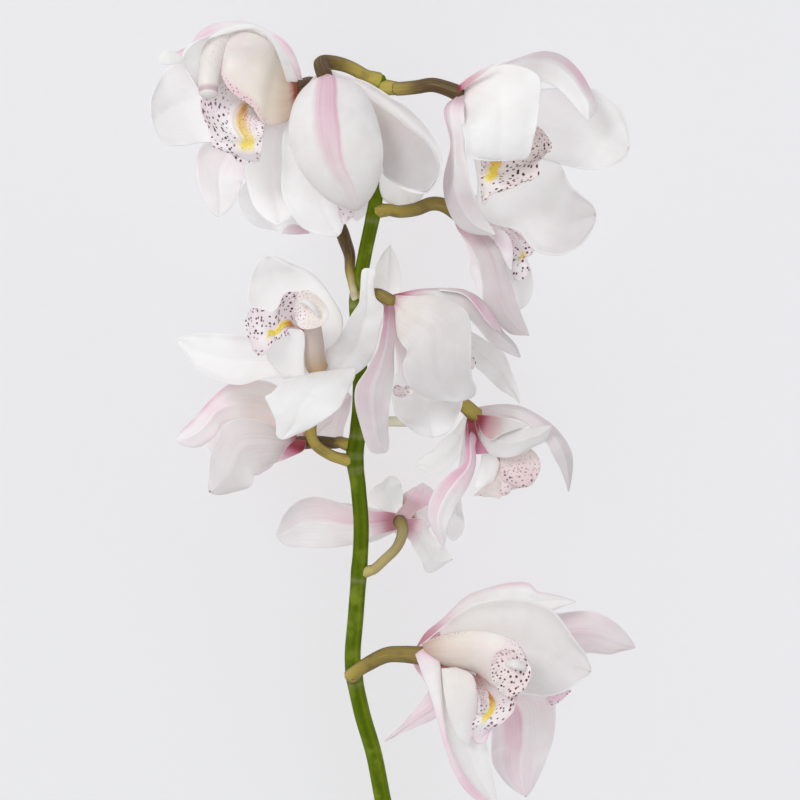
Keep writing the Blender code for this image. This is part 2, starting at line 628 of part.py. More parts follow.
def stalk_object(name, bloom, look):
    """A bloom's own stalk, from its knob on the stem to the back of the bloom."""
    centre, way, radius, reach = stalk_start(bloom)
    first = centre + way * reach
    base = np.array(bloom["base"], dtype=float)
    last = bloom["stalk"][-1]
    back = unit(np.array(last[:3], dtype=float) - base)
    end = base + back * (HUB_RADIUS + PIECE_GAP)
    second = first + way * STALK_LEAD
    rows = [(*first, radius), (*second, radius), *bloom["stalk"], (*end, last[3])]
    return add_object(tube(rows, STALK_RINGS, STALK_SIDES, "stalk_" + name), "stalk_" + name, look)


def column_mesh(name, bloom):
    """The column: a round rod from the bloom's base that ends in a blunt cap."""
    points = bloom["column"]
    rows = [(*bloom["base"], COLUMN_RADII[0])]
    rows += [(*point, radius) for point, radius in zip(points, COLUMN_RADII[1:])]
    way = unit(np.array(points[-1], dtype=float) - np.array(points[-2], dtype=float))
    end = np.array(points[-1], dtype=float) + way * COLUMN_TIP_RADIUS
    rows.append((*end, COLUMN_TIP_RADIUS))
    return tube(rows, COLUMN_RINGS, COLUMN_SIDES, name)


def blade_mesh(name, bloom, index):
    """One sepal or petal, rooted in the bloom's hub."""
    shape = bloom["blades"][index]
    base = np.array(bloom["base"], dtype=float)
    way = unit(np.array(shape["rows"][0][:3], dtype=float) - base)
    root = base + way * (BLADE_ROOT_START + BLADE_ROOT_STEP * index)
    surface = sheet_points(root, BLADE_ROOT_WIDTH, shape, BLADE_STEPS, BLADE_COLUMNS,
                           blade_height, BLADE_THICKNESS / 2)
    return thick_sheet(surface, BLADE_THICKNESS, name)


def bloom_object(name, bloom, look):
    """The sepals, petals, hub and column of a bloom, as one body."""
    meshes = []
    for index in range(len(bloom["blades"])):
        meshes.append(blade_mesh(f"blade_{name}_{index}", bloom, index))
    meshes.append(ball(bloom["base"], HUB_RADIUS, "hub_" + name))
    meshes.append(column_mesh("column_" + name, bloom))
    return joined(meshes, "bloom_" + name, look)


def lip_object(name, bloom, look):
    """The lip of a bloom, a trough that opens into a ruffled lobe."""
    surface = sheet_points(lip_root(bloom), LIP_ROOT_WIDTH, bloom["lip"], LIP_STEPS,
                           LIP_COLUMNS, lip_height, LIP_THICKNESS / 2)
    return add_object(thick_sheet(surface, LIP_THICKNESS, "lip_" + name), "lip_" + name, look)


def build():
    """Make the stem and every bloom."""
    clear_scene()
    green = material("stem_green", (0.16, 0.26, 0.01), 0.45)
    olive = material("stalk_olive", (0.30, 0.25, 0.06), 0.5)
    white = material("petal_white", (0.86, 0.80, 0.82), 0.5)
    spotted = material("lip_pink", (0.80, 0.62, 0.70), 0.5)
    stem_object(green)
    for name, bloom in BLOOMS.items():
        stalk_object(name, bloom, olive)
        bloom_object(name, bloom, white)
        lip_object(name, bloom, spotted)


build()
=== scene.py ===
"""Dresses the cut cymbidium stem: waxy petals, ruffled spotted lips, olive stalks and a green stem.

Shapes repeat the part's own drawing, in millimetres, with x across the stem and y along it.
Every petal is a blade: rows of x, y, z, width, roll and curl from its foot to its tip.
"""

import math

import bmesh
import bpy
import numpy as np
from bpy.props import FloatProperty, FloatVectorProperty, PointerProperty
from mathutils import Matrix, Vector, noise


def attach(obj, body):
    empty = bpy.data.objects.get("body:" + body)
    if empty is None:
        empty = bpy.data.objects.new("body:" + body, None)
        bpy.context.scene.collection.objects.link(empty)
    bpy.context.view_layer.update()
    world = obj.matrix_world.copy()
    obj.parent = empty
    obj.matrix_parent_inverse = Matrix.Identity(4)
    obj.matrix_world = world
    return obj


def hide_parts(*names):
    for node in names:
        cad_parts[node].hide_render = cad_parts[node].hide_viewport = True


bl_info = {
    "name": "Cymbidium Stem",
    "version": (1, 0, 0),
    "blender": (4, 5, 0),
    "location": "View3D > Sidebar > Orchid",
    "description": "Petals, lips, stalks and stem of a cut cymbidium",
    "category": "Object",
}

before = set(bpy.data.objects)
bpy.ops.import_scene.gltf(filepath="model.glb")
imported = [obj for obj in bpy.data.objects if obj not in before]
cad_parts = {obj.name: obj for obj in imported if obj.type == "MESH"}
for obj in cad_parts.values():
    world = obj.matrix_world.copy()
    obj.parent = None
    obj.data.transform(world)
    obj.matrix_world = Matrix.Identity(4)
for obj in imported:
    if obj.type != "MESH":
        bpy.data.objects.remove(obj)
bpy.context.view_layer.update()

MM = 0.001
DRAWING_ORIGIN = (-3.61, -79.14, 0.0)

BLADE_STEPS = 30
BLADE_COLUMNS = 18
BLADE_ROOT_WIDTH = 7.0
BLADE_ROOT_START = 0.6
BLADE_ROOT_STEP = 0.35
BLADE_WAVE = 0.9
BLADE_KEEL = 0.7

LIP_STEPS = 44
LIP_COLUMNS = 30
LIP_WAVE = 1.8
LIP_ROOT_WIDTH = 4.0
LIP_ROOT_DEPTH = 1.0
LIP_ROOT_OFFSET = 4.2
RELIEF_WIDTH = 12.0
CALLUS_HEIGHT = 0.7

HUB_RADIUS = 4.0
COLUMN_RADII = (2.7, 2.9, 3.3, 3.5)
COLUMN_START = 6.0
COLUMN_RINGS = 26
ROUND_SIDES = 24
STEM_RINGS = 300
STALK_RINGS = 60
TABLE_BLEND = 1.2
DENSE_STEPS = 12
MERGE_DISTANCE = 0.004
SHEET_STEPS = 24
SHEET_COLUMNS = 14
PETAL_GRAIN = 0.075
PETAL_UNEVEN = 1.1
LIP_GRAIN = 0.2
LIP_UNEVEN = 1.2
NOISE_SEED = 1
EDGE_THINNING = 0.6
SENSOR_WIDTH = 36.0
FLOOR_SIZE = 8.0

# Stem rows: x, y, z, radius, from the cut end to the top.
STEM_ROWS = (
    (-4.0, -326.0, 3.95, 3.7),
    (-3.5, -300.0, 4.1, 3.7),
    (-3.0, -268.0, 8.0, 3.7),
    (-2.5, -232.0, 19.0, 3.7),
    (-3.5, -200.0, 28.0, 3.65),
    (-8.1, -175.0, 34.0, 3.65),
    (-11.8, -156.0, 38.5, 3.6),
    (-17.2, -137.0, 42.0, 3.6),
    (-20.9, -116.0, 45.0, 3.55),
    (-19.5, -94.0, 47.0, 3.5),
    (-17.2, -60.0, 49.0, 3.4),
    (-18.3, -40.0, 50.0, 3.4),
    (-20.0, -25.0, 50.0, 3.6),
    (-18.4, -12.0, 50.0, 3.4),
    (-17.6, 10.0, 50.0, 3.3),
    (-18.9, 31.0, 50.0, 3.2),
    (-18.7, 46.0, 50.0, 3.3),
    (-15.6, 64.0, 50.0, 3.1),
    (-11.8, 82.0, 50.0, 3.1),
    (-9.4, 98.0, 50.0, 2.7),
    (-8.6, 118.0, 50.0, 2.6),
    (-8.8, 137.0, 50.5, 2.9),
    (-8.9, 142.0, 52.0, 2.3),
)


def blade(outer_up, blunt, *rows):
    """One petal or sepal: outer_up is 1 if its outer face looks up, and blunt shapes its tip."""
    return {"outer_up": outer_up, "blunt": blunt, "rows": rows[:-1], "tip": rows[-1]}


# Each bloom: the middle of its base, the height on the stem and the direction in which its
# stalk leaves, the stalk's route with its radii, its blades, its lip and its column. A lip_offset
# is how far from the column's middle that lip begins.
BLOOMS = {
    "a": {
        "base": (-45, 137, 60),
        "stem_y": 112,
        "leaves": (-0.85, 0.4, -0.35),
        "stalk": ((-19, 121, 45, 2.4), (-30, 134, 45, 2.6), (-38, 139.5, 51, 2.9)),
        "blades": (
            blade(1, 0.8, (-51.5, 149, 58, 13, 10, -30), (-66, 156.5, 53, 28, 25, -60), (-83, 155.5, 58, 23,
              20, -50), (-98, 149, 64)),
            blade(-1, 0.55, (-51, 139, 55, 34, -20, 60), (-64, 142.5, 55, 44, -15, 90), (-79, 146, 64, 40,
              0, 90), (-91, 150, 74)),
            blade(-1, 0.5, (-64, 134, 50, 24, 0, 20), (-82, 132, 47, 38, 0, 15), (-98, 130, 52, 37, 0, 20),
              (-110, 127, 58)),
            blade(-1, 0.7, (-62, 119, 46, 24, 0, 15), (-75, 107, 43, 32, 0, 20), (-79, 95, 46, 27, 0, 20),
              (-77, 81, 51)),
            blade(-1, 0.8, (-53, 118, 51, 20, 0, 20), (-59, 104, 50, 25, 0, 20), (-58, 90, 53, 24, 0, 10),
              (-46, 76, 58)),
        ),
        "lip": blade(-1, 0.5, (-58, 128, 64, 16, 0, 90), (-67, 125.5, 70, 23, 0, 100), (-72, 122, 75, 29, 0,
          80), (-70, 116, 81, 25, 0, 20), (-69, 109, 80, 24, 0, -10), (-68, 103, 76)),
        "column": ((-66, 148, 61), (-78.5, 157, 66), (-82.3, 149.5, 71), (-83.6, 141, 76), (-83.6, 134.3,
          78.5)),
        "column_radii": (2.7, 3.2, 4.8, 5.0, 4.7, 4.2),
    },
    "b": {
        "base": (-33, 142, 74),
        "stem_y": 140.5,
        "leaves": (-1.0, 0.35, 0.3),
        "stalk": ((-22, 146.3, 57, 2.9), (-29, 148, 62, 3.1), (-34.5, 147.5, 67, 3.2)),
        "blades": (
            blade(1, 0.85, (-32, 133, 85, 34, 0, -100), (-29, 115, 93, 48, 0, -110), (-25, 98, 91, 41, 0,
              -100), (-18, 84, 84)),
            blade(-1, 0.5, (-37, 134, 68, 11, 0, 0), (-39, 120, 68, 22, 0, -30), (-39, 102, 70, 31, 0, -30),
              (-36, 87, 70, 29, 0, -20), (-33, 71, 68)),
            blade(-1, 0.6, (-26, 138, 69, 10, 0, 20), (-14.5, 129.5, 67, 24, 0, 70), (-2, 115.5, 68, 36, 0,
              80), (6.5, 103, 70, 32, 0, 50), (13, 91, 73)),
            blade(-1, 0.7, (-19, 122, 60, 22, 0, 20), (-9, 104, 53, 24, 0, 20), (-3, 94, 48.5, 18, 0, 10),
              (3, 87, 48)),
            blade(-1, 0.7, (-33, 120, 64, 20, 0, 20), (-33, 104, 62, 24, 0, 20), (-32, 94, 62, 20, 0, 20),
              (-33, 84, 62)),
        ),
        "lip": blade(-1, 0.5, (-31, 126, 77, 14, 0, 60), (-30, 112, 78, 25, 0, 90), (-29, 101, 77, 26, 0,
          70), (-28, 91, 77, 20, 0, 20), (-26, 83, 74, 17, 0, -10), (-24, 75, 71)),
        "column": ((-32, 128, 84.5), (-31, 118, 87), (-30, 109, 87)),
    },
    "c": {
        "base": (26, 134.5, 62),
        "stem_y": 138,
        "leaves": (1.0, -0.1, 0.25),
        "stalk": ((0, 137, 54, 3.0), (7, 137.6, 56, 3.0), (14, 138.5, 58, 3.1), (20, 137, 60, 3.2)),
        "blades": (
            blade(1, 0.85, (41, 144, 58, 20, -30, -40), (61, 147, 60, 26, -30, -50), (77, 139, 64, 20, -30,
              -50), (83, 121, 67)),
            blade(-1, 0.25, (35, 137, 72, 22, 0, -40), (44, 128, 80, 35, 0, -50), (44, 115, 81, 33, 0, -30),
              (43, 103, 77)),
            blade(-1, 0.6, (48, 130, 54, 24, 0, 20), (70, 124, 50, 36, 0, 20), (87, 118, 52, 36, 0, 20),
              (101, 110, 56)),
            blade(-1, 0.5, (42, 113, 53, 26, 0, 10), (57, 94, 52, 38, 0, 15), (73, 82.5, 53, 37, 0, 15),
              (87.5, 80, 56)),
            blade(1, 0.9, (23, 124, 72, 16, 45, -40), (24, 107, 72, 16, 45, -40), (25, 92, 71, 18, 35, -40),
              (31, 81, 70, 17, 20, -30), (42, 73, 66)),
        ),
        "lip": blade(-1, 0.5, (37, 122, 62, 22, 0, 110), (48, 111, 64, 34, 0, 110), (48, 103, 68, 32, 0,
          50), (44, 96, 71, 24, 0, 10), (38, 87, 70)),
        "column": ((36, 129, 69), (45, 121, 71), (53, 115, 71)),
    },
    "d": {
        "base": (27, 81, 48),
        "stem_y": 83,
        "leaves": (1.0, 0.05, 0.15),
        "stalk": ((0, 83, 52, 2.7), (7, 84, 52, 2.9), (14, 86.5, 51, 3.0), (20, 85.5, 50, 3.1)),
        "blades": (
            blade(1, 0.85, (29.5, 74, 54, 9, 0, 0), (37, 66, 60, 14, 0, -30), (41.5, 54, 60, 17, 0, -30),
              (46.5, 42, 59, 17, 0, -30), (57, 28, 56)),
            blade(-1, 0.6, (34, 66, 44.5, 10, 0, 10), (38, 55, 42.5, 15, 0, 10), (43, 41, 41.5)),
            blade(-1, 0.5, (40, 68, 42, 20, 0, 10), (48, 56, 40, 20, 0, 10), (53.5, 40, 42)),
            blade(-1, 0.5, (33, 75, 41, 10, 0, 0), (40, 70, 38.5, 16, 0, 10), (46, 62, 38, 16, 0, 10), (50,
              51, 39)),
            blade(-1, 0.5, (40, 83, 30, 24, 0, 10), (54, 84, 10, 30, 0, 0), (66, 84, -2, 28, 0, 0), (78, 84,
              -3)),
        ),
        "lip": blade(-1, 0.5, (40, 78, 45.8, 10, 0, 60), (48, 72, 44, 18, 0, 70), (53, 65, 48, 17, 0, 50),
          (54, 59, 51, 13, 0, 10), (53, 53, 50)),
        "column": ((29, 79, 44), (30, 77, 42), (31, 75, 41)),
    },
    "e": {
        "base": (-34, 9, 62),
        "stem_y": -27,
        "leaves": (-1.0, 0.25, 0.25),
        "stalk": ((-31, -24, 53, 2.4), (-37, -19.8, 54, 2.4), (-39.3, -13.5, 55, 2.5), (-37.8, -5, 57,
          2.8)),
        "blades": (
            blade(-1, 0.5, (-38, 26, 54, 29, 0, 30), (-47.5, 42, 52, 39, 0, 30), (-55, 54, 55, 29, 0, 30),
              (-60, 64, 60)),
            blade(-1, 0.85, (-43, 11, 61.5, 10, 0, 0), (-54, 14, 62, 20, 0, 20), (-71, 18, 64, 25, 0, 20),
              (-86, 21, 64, 18, 0, 20), (-98.5, 26, 64)),
            blade(-1, 0.45, (-38.5, 5, 75, 24, 0, -20), (-44, -1.5, 81, 27, 0, -20), (-50, -10, 82, 20, 0,
              -10), (-54, -17.5, 80)),
            blade(-1, 0.5, (-26, 15, 67, 18, 0, -20), (-18, 28, 72, 22, 0, 20), (-16, 42, 68, 9, 0, 20),
              (-14.5, 51, 68, 7.5, 0, 20), (-13.5, 58, 67)),
            blade(-1, 0.85, (-22, 26, 42, 14, 0, 10), (-9, 42, 38, 16, 0, 10), (-4, 55, 38, 12, 0, 10), (-3,
              69, 40)),
        ),
        "lip": blade(-1, 0.5, (-40, 20, 67, 13, 40, 90), (-45, 32, 74, 21, 30, 80), (-53, 34, 81, 25, 0,
          40), (-60, 29, 85, 21, 0, 0), (-67, 26, 80)),
        "lip_offset": 3.45,
        "column": ((-37.2, 17, 67), (-37.6, 26, 72), (-39, 38, 76)),
        "column_radii": (4.6, 4.6, 4.2, 3.6),
    },
    "f": {
        "base": (-4, 43, 68),
        "stem_y": 46,
        "leaves": (0.75, 0.05, 0.65),
        "stalk": ((-12.6, 46.4, 57, 2.6), (-9.2, 46.2, 62, 2.8)),
        "blades": (
            blade(1, 0.85, (12, 45.5, 72, 12, -30, -40), (27, 42, 74, 22, -30, -60), (40, 33, 73, 22, -30,
              -50), (52, 19, 69)),
            blade(-1, 0.3, (8, 37, 83, 26, 0, -40), (17, 23, 87, 33, 0, -45), (19, 10, 86, 30, 0, -30), (19,
              -2, 82)),
            blade(1, 0.45, (-5, 36, 75, 7, 0, 0), (-6.5, 27, 81, 9, 0, -30), (-10, 12, 84, 13, 0, -40),
              (-12, -3, 83, 17, 0, -40), (-11, -15, 80, 13, 0, -30), (-10, -23, 77)),
            blade(-1, 0.45, (5, 20, 63, 22, 0, 10), (11, 3, 63, 28, 0, 15), (13, -8, 65, 25, 0, 10), (14,
              -17, 66)),
            blade(-1, 0.9, (16, 32, 61, 20, 0, 10), (33, 22, 58, 20, 0, 10), (45, 11, 59, 13, 0, 10), (52,
              -2, 61)),
        ),
        "lip": blade(-1, 0.5, (4, 31, 69, 14, 0, 80), (10, 22, 72, 26, 0, 70), (15, 13, 75, 36, 0, 30), (19,
          4, 74)),
        "column": ((1, 37, 62), (6, 31, 61), (11, 25, 61)),
    },
    "g": {
        "base": (-44.5, -19, 44),
        "stem_y": -21,
        "leaves": (-0.9, 0.3, -0.35),
        "stalk": ((-29, -19, 47, 2.5), (-36, -18.5, 47.5, 2.7)),
        "blades": (
            blade(1, 0.85, (-57, -4, 45, 24, 0, -40), (-73, -3, 47, 21, 0, -50), (-86, -10.5, 46, 16, 0,
              -50), (-99, -19, 44)),
            blade(1, 0.4, (-57, -18.5, 56, 21, 0, -50), (-68, -22, 60, 30, 0, -50), (-74.5, -32, 59, 25, 0,
              -50), (-80.5, -42.5, 55)),
            blade(1, 0.8, (-52, -20, 41, 10, 0, -20), (-60, -22, 36, 13, 0, -20), (-71, -27, 34)),
            blade(-1, 0.5, (-40, -13, 37, 13, 0, 10), (-31, -5, 34, 22, 0, 10), (-23, 4, 35)),
            blade(1, 0.5, (-45.5, -9.5, 31, 8, 0, 0), (-60, -11, 17, 25, 0, 0), (-71, -14, 5, 26, 0, 0),
              (-79, -16, -3, 21, 0, 0), (-88, -17, -3)),
        ),
        "lip": blade(1, 0.5, (-54, -20.5, 33, 9, 0, -40), (-60, -22, 28.5, 16, 0, -60), (-67, -26, 25, 17,
          0, -40), (-74, -31, 22)),
        "column": ((-51, -15, 41), (-57, -13, 38), (-62, -12, 34)),
    },
    "h": {
        "base": (33, -6.5, 50),
        "stem_y": -12,
        "leaves": (0.9, 0.2, -0.4),
        "stalk": ((-6, -9.5, 43, 2.2), (7, -9, 42, 2.4), (19, -4, 46, 2.8), (26.5, -1.5, 52, 3.1)),
        "blades": (
            blade(1, 0.9, (50, -6.5, 53.5, 14, -20, -50), (63.5, -13, 55, 16, -20, -60), (71.5, -24.5, 56,
              11, -10, -50), (74, -40, 53)),
            blade(1, 0.6, (45, -14, 57, 18, 0, -60), (57, -17, 59.5, 15, 0, -40), (67, -14, 60)),
            blade(1, 0.85, (32.5, -20, 58, 11, 0, -40), (27, -34, 63, 19, 0, -50), (20.5, -46, 63, 18, 0,
              -50), (18, -56, 62, 12, 0, -40), (20, -64.5, 59)),
            blade(-1, 0.6, (28, -13, 42, 10, 0, 0), (20, -22, 39, 15, 0, 10), (7.5, -32.5, 40)),
            blade(-1, 0.5, (29, -26, 27, 12, 0, 0), (25.5, -40, 10, 13, 0, 0), (23.5, -51, -3, 14, 0, 0),
              (24, -64, -3)),
        ),
        "lip": blade(1, 0.4, (43, -20, 47, 18, 0, -70), (48, -27, 47, 27, 0, -60), (49.5, -33, 46, 27, 0,
          -40), (48.5, -41, 43)),
        "column": ((38, -15, 43), (43, -22, 40), (47, -29, 39)),
    },
    "i": {
        "base": (0, -54, 34),
        "stem_y": -75.5,
        "leaves": (1.0, 0.35, 0.3),
        "stalk": ((-7, -70.5, 53, 2.2), (-1.5, -65, 51, 2.2), (1.2, -58.5, 46, 2.4), (0.5, -55, 41, 2.8)),
        "blades": (
            blade(1, 0.7, (-15, -54, 31, 18, 0, -30), (-32, -54.5, 30, 25, 0, -40), (-45, -57, 29, 20, 0,
              -40), (-54.5, -62, 27)),
            blade(1, 0.5, (-4.5, -46, 27, 12, 0, -20), (-7.5, -40, 23, 14, 0, -20), (-7.5, -33, 20)),
            blade(1, 0.5, (4.5, -45, 29, 11, 0, -20), (7.5, -41, 27, 12, 0, -20), (9.5, -35.5, 24)),
            blade(1, 0.45, (8, -61, 30, 17, 0, -20), (13, -68, 28, 20, 0, -20), (18, -77, 24)),
            blade(1, 0.5, (-13, -55.5, 15, 16, 0, 0), (-25, -55.5, 2, 19, 0, 0), (-34, -56, -3, 18, 0, 0),
              (-42, -56, -3)),
        ),
        "lip": blade(1, 0.5, (5, -50, 27, 14, 0, -80), (9, -49, 20, 22, 0, -80), (13, -51, 14, 20, 0, -30),
          (17, -54, 11)),
        "lip_offset": 3.25,
        "column": ((-0.5, -56, 26), (0, -57, 20), (1, -58, 15)),
    },
    "j": {
        "base": (8.5, -112, 66),
        "stem_y": -121.5,
        "leaves": (-0.15, -0.05, 1.0),
        "stalk": ((-21.5, -121, 52.5, 2.9), (-14, -116, 57, 3.2), (-6, -112, 61, 3.4), (1.5, -111.5, 64,
          3.6)),
        "blades": (
            blade(1, 0.85, (22, -100, 61, 20, -20, -40), (40, -92, 59, 25, -20, -50), (60, -89.5, 59, 16,
              -20, -40), (77, -89.5, 60)),
            blade(-1, 0.6, (17, -106, 64, 10, 0, 0), (28, -102, 69, 28, 20, 20), (48, -105, 72, 42, 0, 20),
              (67, -110, 74, 38, 0, 20), (84, -120, 74)),
            blade(1, 0.8, (40, -108, 54, 18, 0, -30), (70, -103, 54, 20, 0, -50), (86, -103, 55, 20, 0,
              -50), (103, -109.5, 56)),
            blade(1, 0.75, (34, -124, 62, 22, 0, -30), (51, -136, 64, 30, 0, -50), (54, -155, 64, 30, 0,
              -50), (55, -174.5, 61)),
            blade(-1, 0.85, (10, -120, 67, 9, 0, 0), (15.5, -128, 72, 15, 0, 30), (23, -140, 77, 22, 0, 30),
              (30, -156, 76, 23, 0, 30), (37, -170, 72, 17, 0, 30), (46, -182, 67)),
            blade(1, 0.9, (13, -126, 58, 13, 0, -20), (8, -138, 56, 14, 0, -40), (-7, -150, 54)),
        ),
        "lip": blade(-1, 0.5, (21, -117, 73, 17, -40, 100), (34, -119, 78, 28, -40, 100), (42, -126, 84, 28,
          -10, 50), (42, -134, 87, 21, 0, 0), (37, -144, 83)),
        "lip_offset": 3.4,
        "column": ((20, -108, 71), (34, -110, 77), (47, -115, 89)),
    },
    "l": {
        "base": (-31, 83, 34),
        "stem_y": 42,
        "leaves": (-0.2, 0.8, 0.55),
        "stalk": ((-21.2, 51.5, 53, 1.7), (-22.1, 57.3, 50, 2.2), (-22.2, 63.6, 46, 2.5), (-24.2, 70, 41,
          2.8), (-26.5, 76, 37.5, 3.0)),
        "blades": (
            blade(1, 0.6, (-46, 94, 20, 19, 0, 0), (-56, 104, 4, 27, 0, 0), (-62, 113, -3, 26, 0, 0), (-70,
              118, -3)),
            blade(1, 0.6, (-35, 101, 16, 22, 0, 0), (-34, 118, 12, 28, 0, 0), (-32, 136, 11)),
            blade(1, 0.6, (-18, 95, 26, 20, 0, 0), (-6, 104, 20, 24, 0, 0), (6, 110, 18)),
            blade(1, 0.6, (-46, 86, 26, 22, 0, 0), (-58, 89, 20, 26, 0, 0), (-72, 92, 18)),
            blade(1, 0.6, (-40, 80, 35, 16, 0, -20), (-48, 79, 34, 14, 0, -20), (-55, 76, 34)),
        ),
        "lip": blade(-1, 0.5, (-31, 94, 40, 10, 0, 40), (-31, 100, 42, 15, 0, 40), (-31, 106, 43, 15, 0,
          20), (-31, 112, 43)),
        "lip_offset": 3.05,
        "column": ((-30, 92, 32), (-29, 100, 31), (-28, 107, 30)),
    },
}

# Colour of a blade where it isn't plain: flush is an even pink, deep the foot's red and depth how far
# it reaches, rim a pink edge, dot a dry tip, tone painted light over 0 and painted shade under it,
# and stripe a pink band whose middle and half width are shares of the blade's. Several values run
# from foot to tip.
PLAIN = {"flush": 0.02, "deep": 0.25, "rim": 0.0, "dot": 0.0, "stripe": 0.0, "middle": 0.0, "band": 0.25,
         "veins": 0.03, "warm": 0.1, "depth": 1.0, "tone": 0.0}
TINTS = {
    "a": (
        {"rim": (0.8, 0.7, 0.2, 0.2, 0.65, 0.35), "flush": (0.5, 0.65, 0.3, 0.35, 1.2, 0.8, 0.2),
         "veins": 0.25, "tone": 0.3},
        {"deep": 0.7, "flush": 0.02, "warm": 0.4, "tone": 0.3},
        {"tone": 0.4},
        {"flush": (0.1, 0.3, 0.2, 0.05), "rim": 0.1, "tone": 0.1},
        {"flush": 0.1, "tone": 0.5, "warm": 0.5},
    ),
    "b": (
        {"stripe": (1.2, 1, 0.9, 0.9), "middle": -0.12, "band": (0.36, 0.28, 0.22, 0.12),
         "warm": (0.1, 0.1, 0.6, 1.5), "tone": (0.1, 0, -0.1, -0.8)},
        {"dot": 0.3, "tone": 0.2},
        {"dot": 0.2, "flush": 0.25, "veins": 0.1, "tone": 0.5},
        {"flush": 0.9, "tone": 2},
        {"flush": 0.6},
    ),
    "c": (
        {"stripe": (0.8, 0.3, 0.2, 0.7, 2.2, 2, 0.5), "middle": 0.6, "band": 0.42, "flush": 0.05,
         "deep": 0.4, "tone": (0, -0.3, -0.7, 0, 0.3, 0.2)},
        {"deep": 0.6, "warm": (1.1, 0.35, 0.05, 0), "tone": (0.5, 0.3, 0)},
        {"dot": 0.9, "flush": (0.4, 0.25, 0.03, 0), "tone": (1.4, 0.9, 0, -0.4)},
        {"dot": 0.8, "flush": (0.5, 0.3, 0.05, 0), "tone": (1.8, 1.4, 0.3, -0.7, -0.9)},
        {"deep": 0.8, "flush": (0.5, 0.25, 0.1, 0.05), "stripe": (1.1, 0.5, 0.1, 0), "middle": -0.8,
         "band": 0.5, "tone": (0.4, 0.3, -0.2, -0.8, -0.5, 0.2)},
    ),
    "d": (
        {"stripe": 0.15, "flush": (0.3, 0.3, 0.35, 0.15), "veins": 0.12, "tone": -0.8},
        {"flush": 1.3, "tone": 0.7, "warm": 0},
        {"tone": 0.3, "warm": 0.3},
        {"flush": 0.1, "tone": 0.6},
        {"flush": 0.15},
    ),
    "e": (
        {"deep": 0, "tone": 0.4},
        {"flush": 0.03, "rim": 0.12, "dot": 0.3, "deep": 0, "tone": 0.35},
        {"flush": 0, "deep": 0, "warm": 0, "tone": 0},
        {"flush": 0, "deep": 0, "warm": 0, "tone": (0, -0.5, 0.2)},
        {"flush": 0.02, "deep": 0, "tone": 0.9},
    ),
    "f": (
        {"stripe": (1.2, 0.5, 0.2, 0), "middle": 0.72, "band": 0.45, "flush": 0.08, "deep": 0.9,
         "depth": 0.8, "warm": 0.2, "tone": (-0.2, -0.5, -1, -0.7)},
        {"deep": 1.2, "depth": 0.4, "flush": 0, "warm": (1, 0.35, 0.08, 0), "veins": (0.12, 0.03, 0.01),
         "tone": (0.5, -0.5, -0.8, -0.6)},
        {"stripe": (0.7, 0.4, 0.3, 0.25), "middle": -0.5, "band": 0.35,
         "flush": (0.5, 0.25, 0.15, 0.25, 0.2), "deep": 0.5, "veins": 0.12, "tone": (-1.2, -0.8, -0.6)},
        {"flush": 0.02, "tone": -0.1},
        {"flush": 0.04, "tone": -0.1},
    ),
    "g": (
        {"rim": (0.2, 0.2, 0.5, 1, 0.4), "flush": (0.3, 0.1, 0.1, 0.5, 0.4, 0.1), "deep": 0.2,
         "warm": (1, 0.7, 0.2, 0), "tone": (0, 0, 0.2, 0.2), "veins": 0.08},
        {"flush": 0.06, "deep": 0.7, "dot": 0.8, "veins": (0.3, 0.1, 0.03), "warm": 0.3, "tone": -0.5},
        {"flush": 0.3, "deep": 0.9},
        {"flush": 0.5, "deep": 0.6, "veins": 0.25},
        {"flush": 0.3},
    ),
    "h": (
        {"flush": (0.3, 0.2, 0.04, 0), "deep": 0.2, "stripe": 0.15, "middle": 0.6, "band": 0.3, "warm": 0.1,
         "tone": (0.2, -0.2, -0.9, -0.9)},
        {"flush": 0, "deep": 0.2, "warm": 0.1, "tone": -0.4},
        {"stripe": (1.3, 0.9, 1, 0.6), "middle": -0.5, "band": 0.45, "flush": (0.6, 0.3, 0.3), "deep": 1,
         "veins": 0.1},
        {"flush": 0.1, "deep": 0.5, "tone": 1.8},
        {"flush": 0.02, "deep": 0.1, "tone": 0.3},
    ),
    "i": (
        {"stripe": (0.9, 0.55, 0.5, 0.5), "middle": -0.6, "band": 0.65, "flush": (0.3, 0.1, 0.08),
         "deep": 1, "depth": 0.8, "veins": 0.12, "tone": 0.1},
        {"flush": 0.02, "deep": 1.3, "depth": 2.5, "tone": 2.2, "warm": 0},
        {"flush": (0.9, 0.8, 0.6), "stripe": (1, 0.7, 0.5), "band": 1.2, "deep": 1.6, "depth": 4,
         "veins": 0.3, "tone": 0.4},
        {"flush": 0.02, "deep": 0.8, "depth": 1.1, "dot": 0.7, "tone": 0.1},
        {"flush": 0.2},
    ),
    "j": (
        {"rim": (1, 0.5, 0.3, 0.6, 0.6, 0), "flush": (0.8, 0.2, 0.03, 0.02, 0), "deep": 0.8, "depth": 1.4,
         "warm": 0.2, "tone": 0.1},
        {"flush": 0.02, "deep": 0.4, "dot": 0.3, "warm": 0.3, "tone": (0.5, 0.2, -0.3, -0.5, -0.5)},
        {"stripe": 0.2, "flush": 0.3, "veins": 0.1, "tone": -0.5},
        {"stripe": 0.65, "middle": -0.3, "band": 0.35, "flush": 0.2, "dot": 1, "veins": 0.12, "tone": -0.1},
        {"flush": 0.02, "deep": 0.5},
        {"stripe": 0.3, "flush": 0.35, "deep": 0.5},
    ),
    "l": (
        {"flush": 0.05, "tone": 0.6},
        {"flush": 0.1},
        {"flush": 0.1},
        {"flush": 0.05, "tone": 0.6},
        {"flush": 0.03, "deep": 0, "tone": 0.9, "warm": 0},
    ),
}

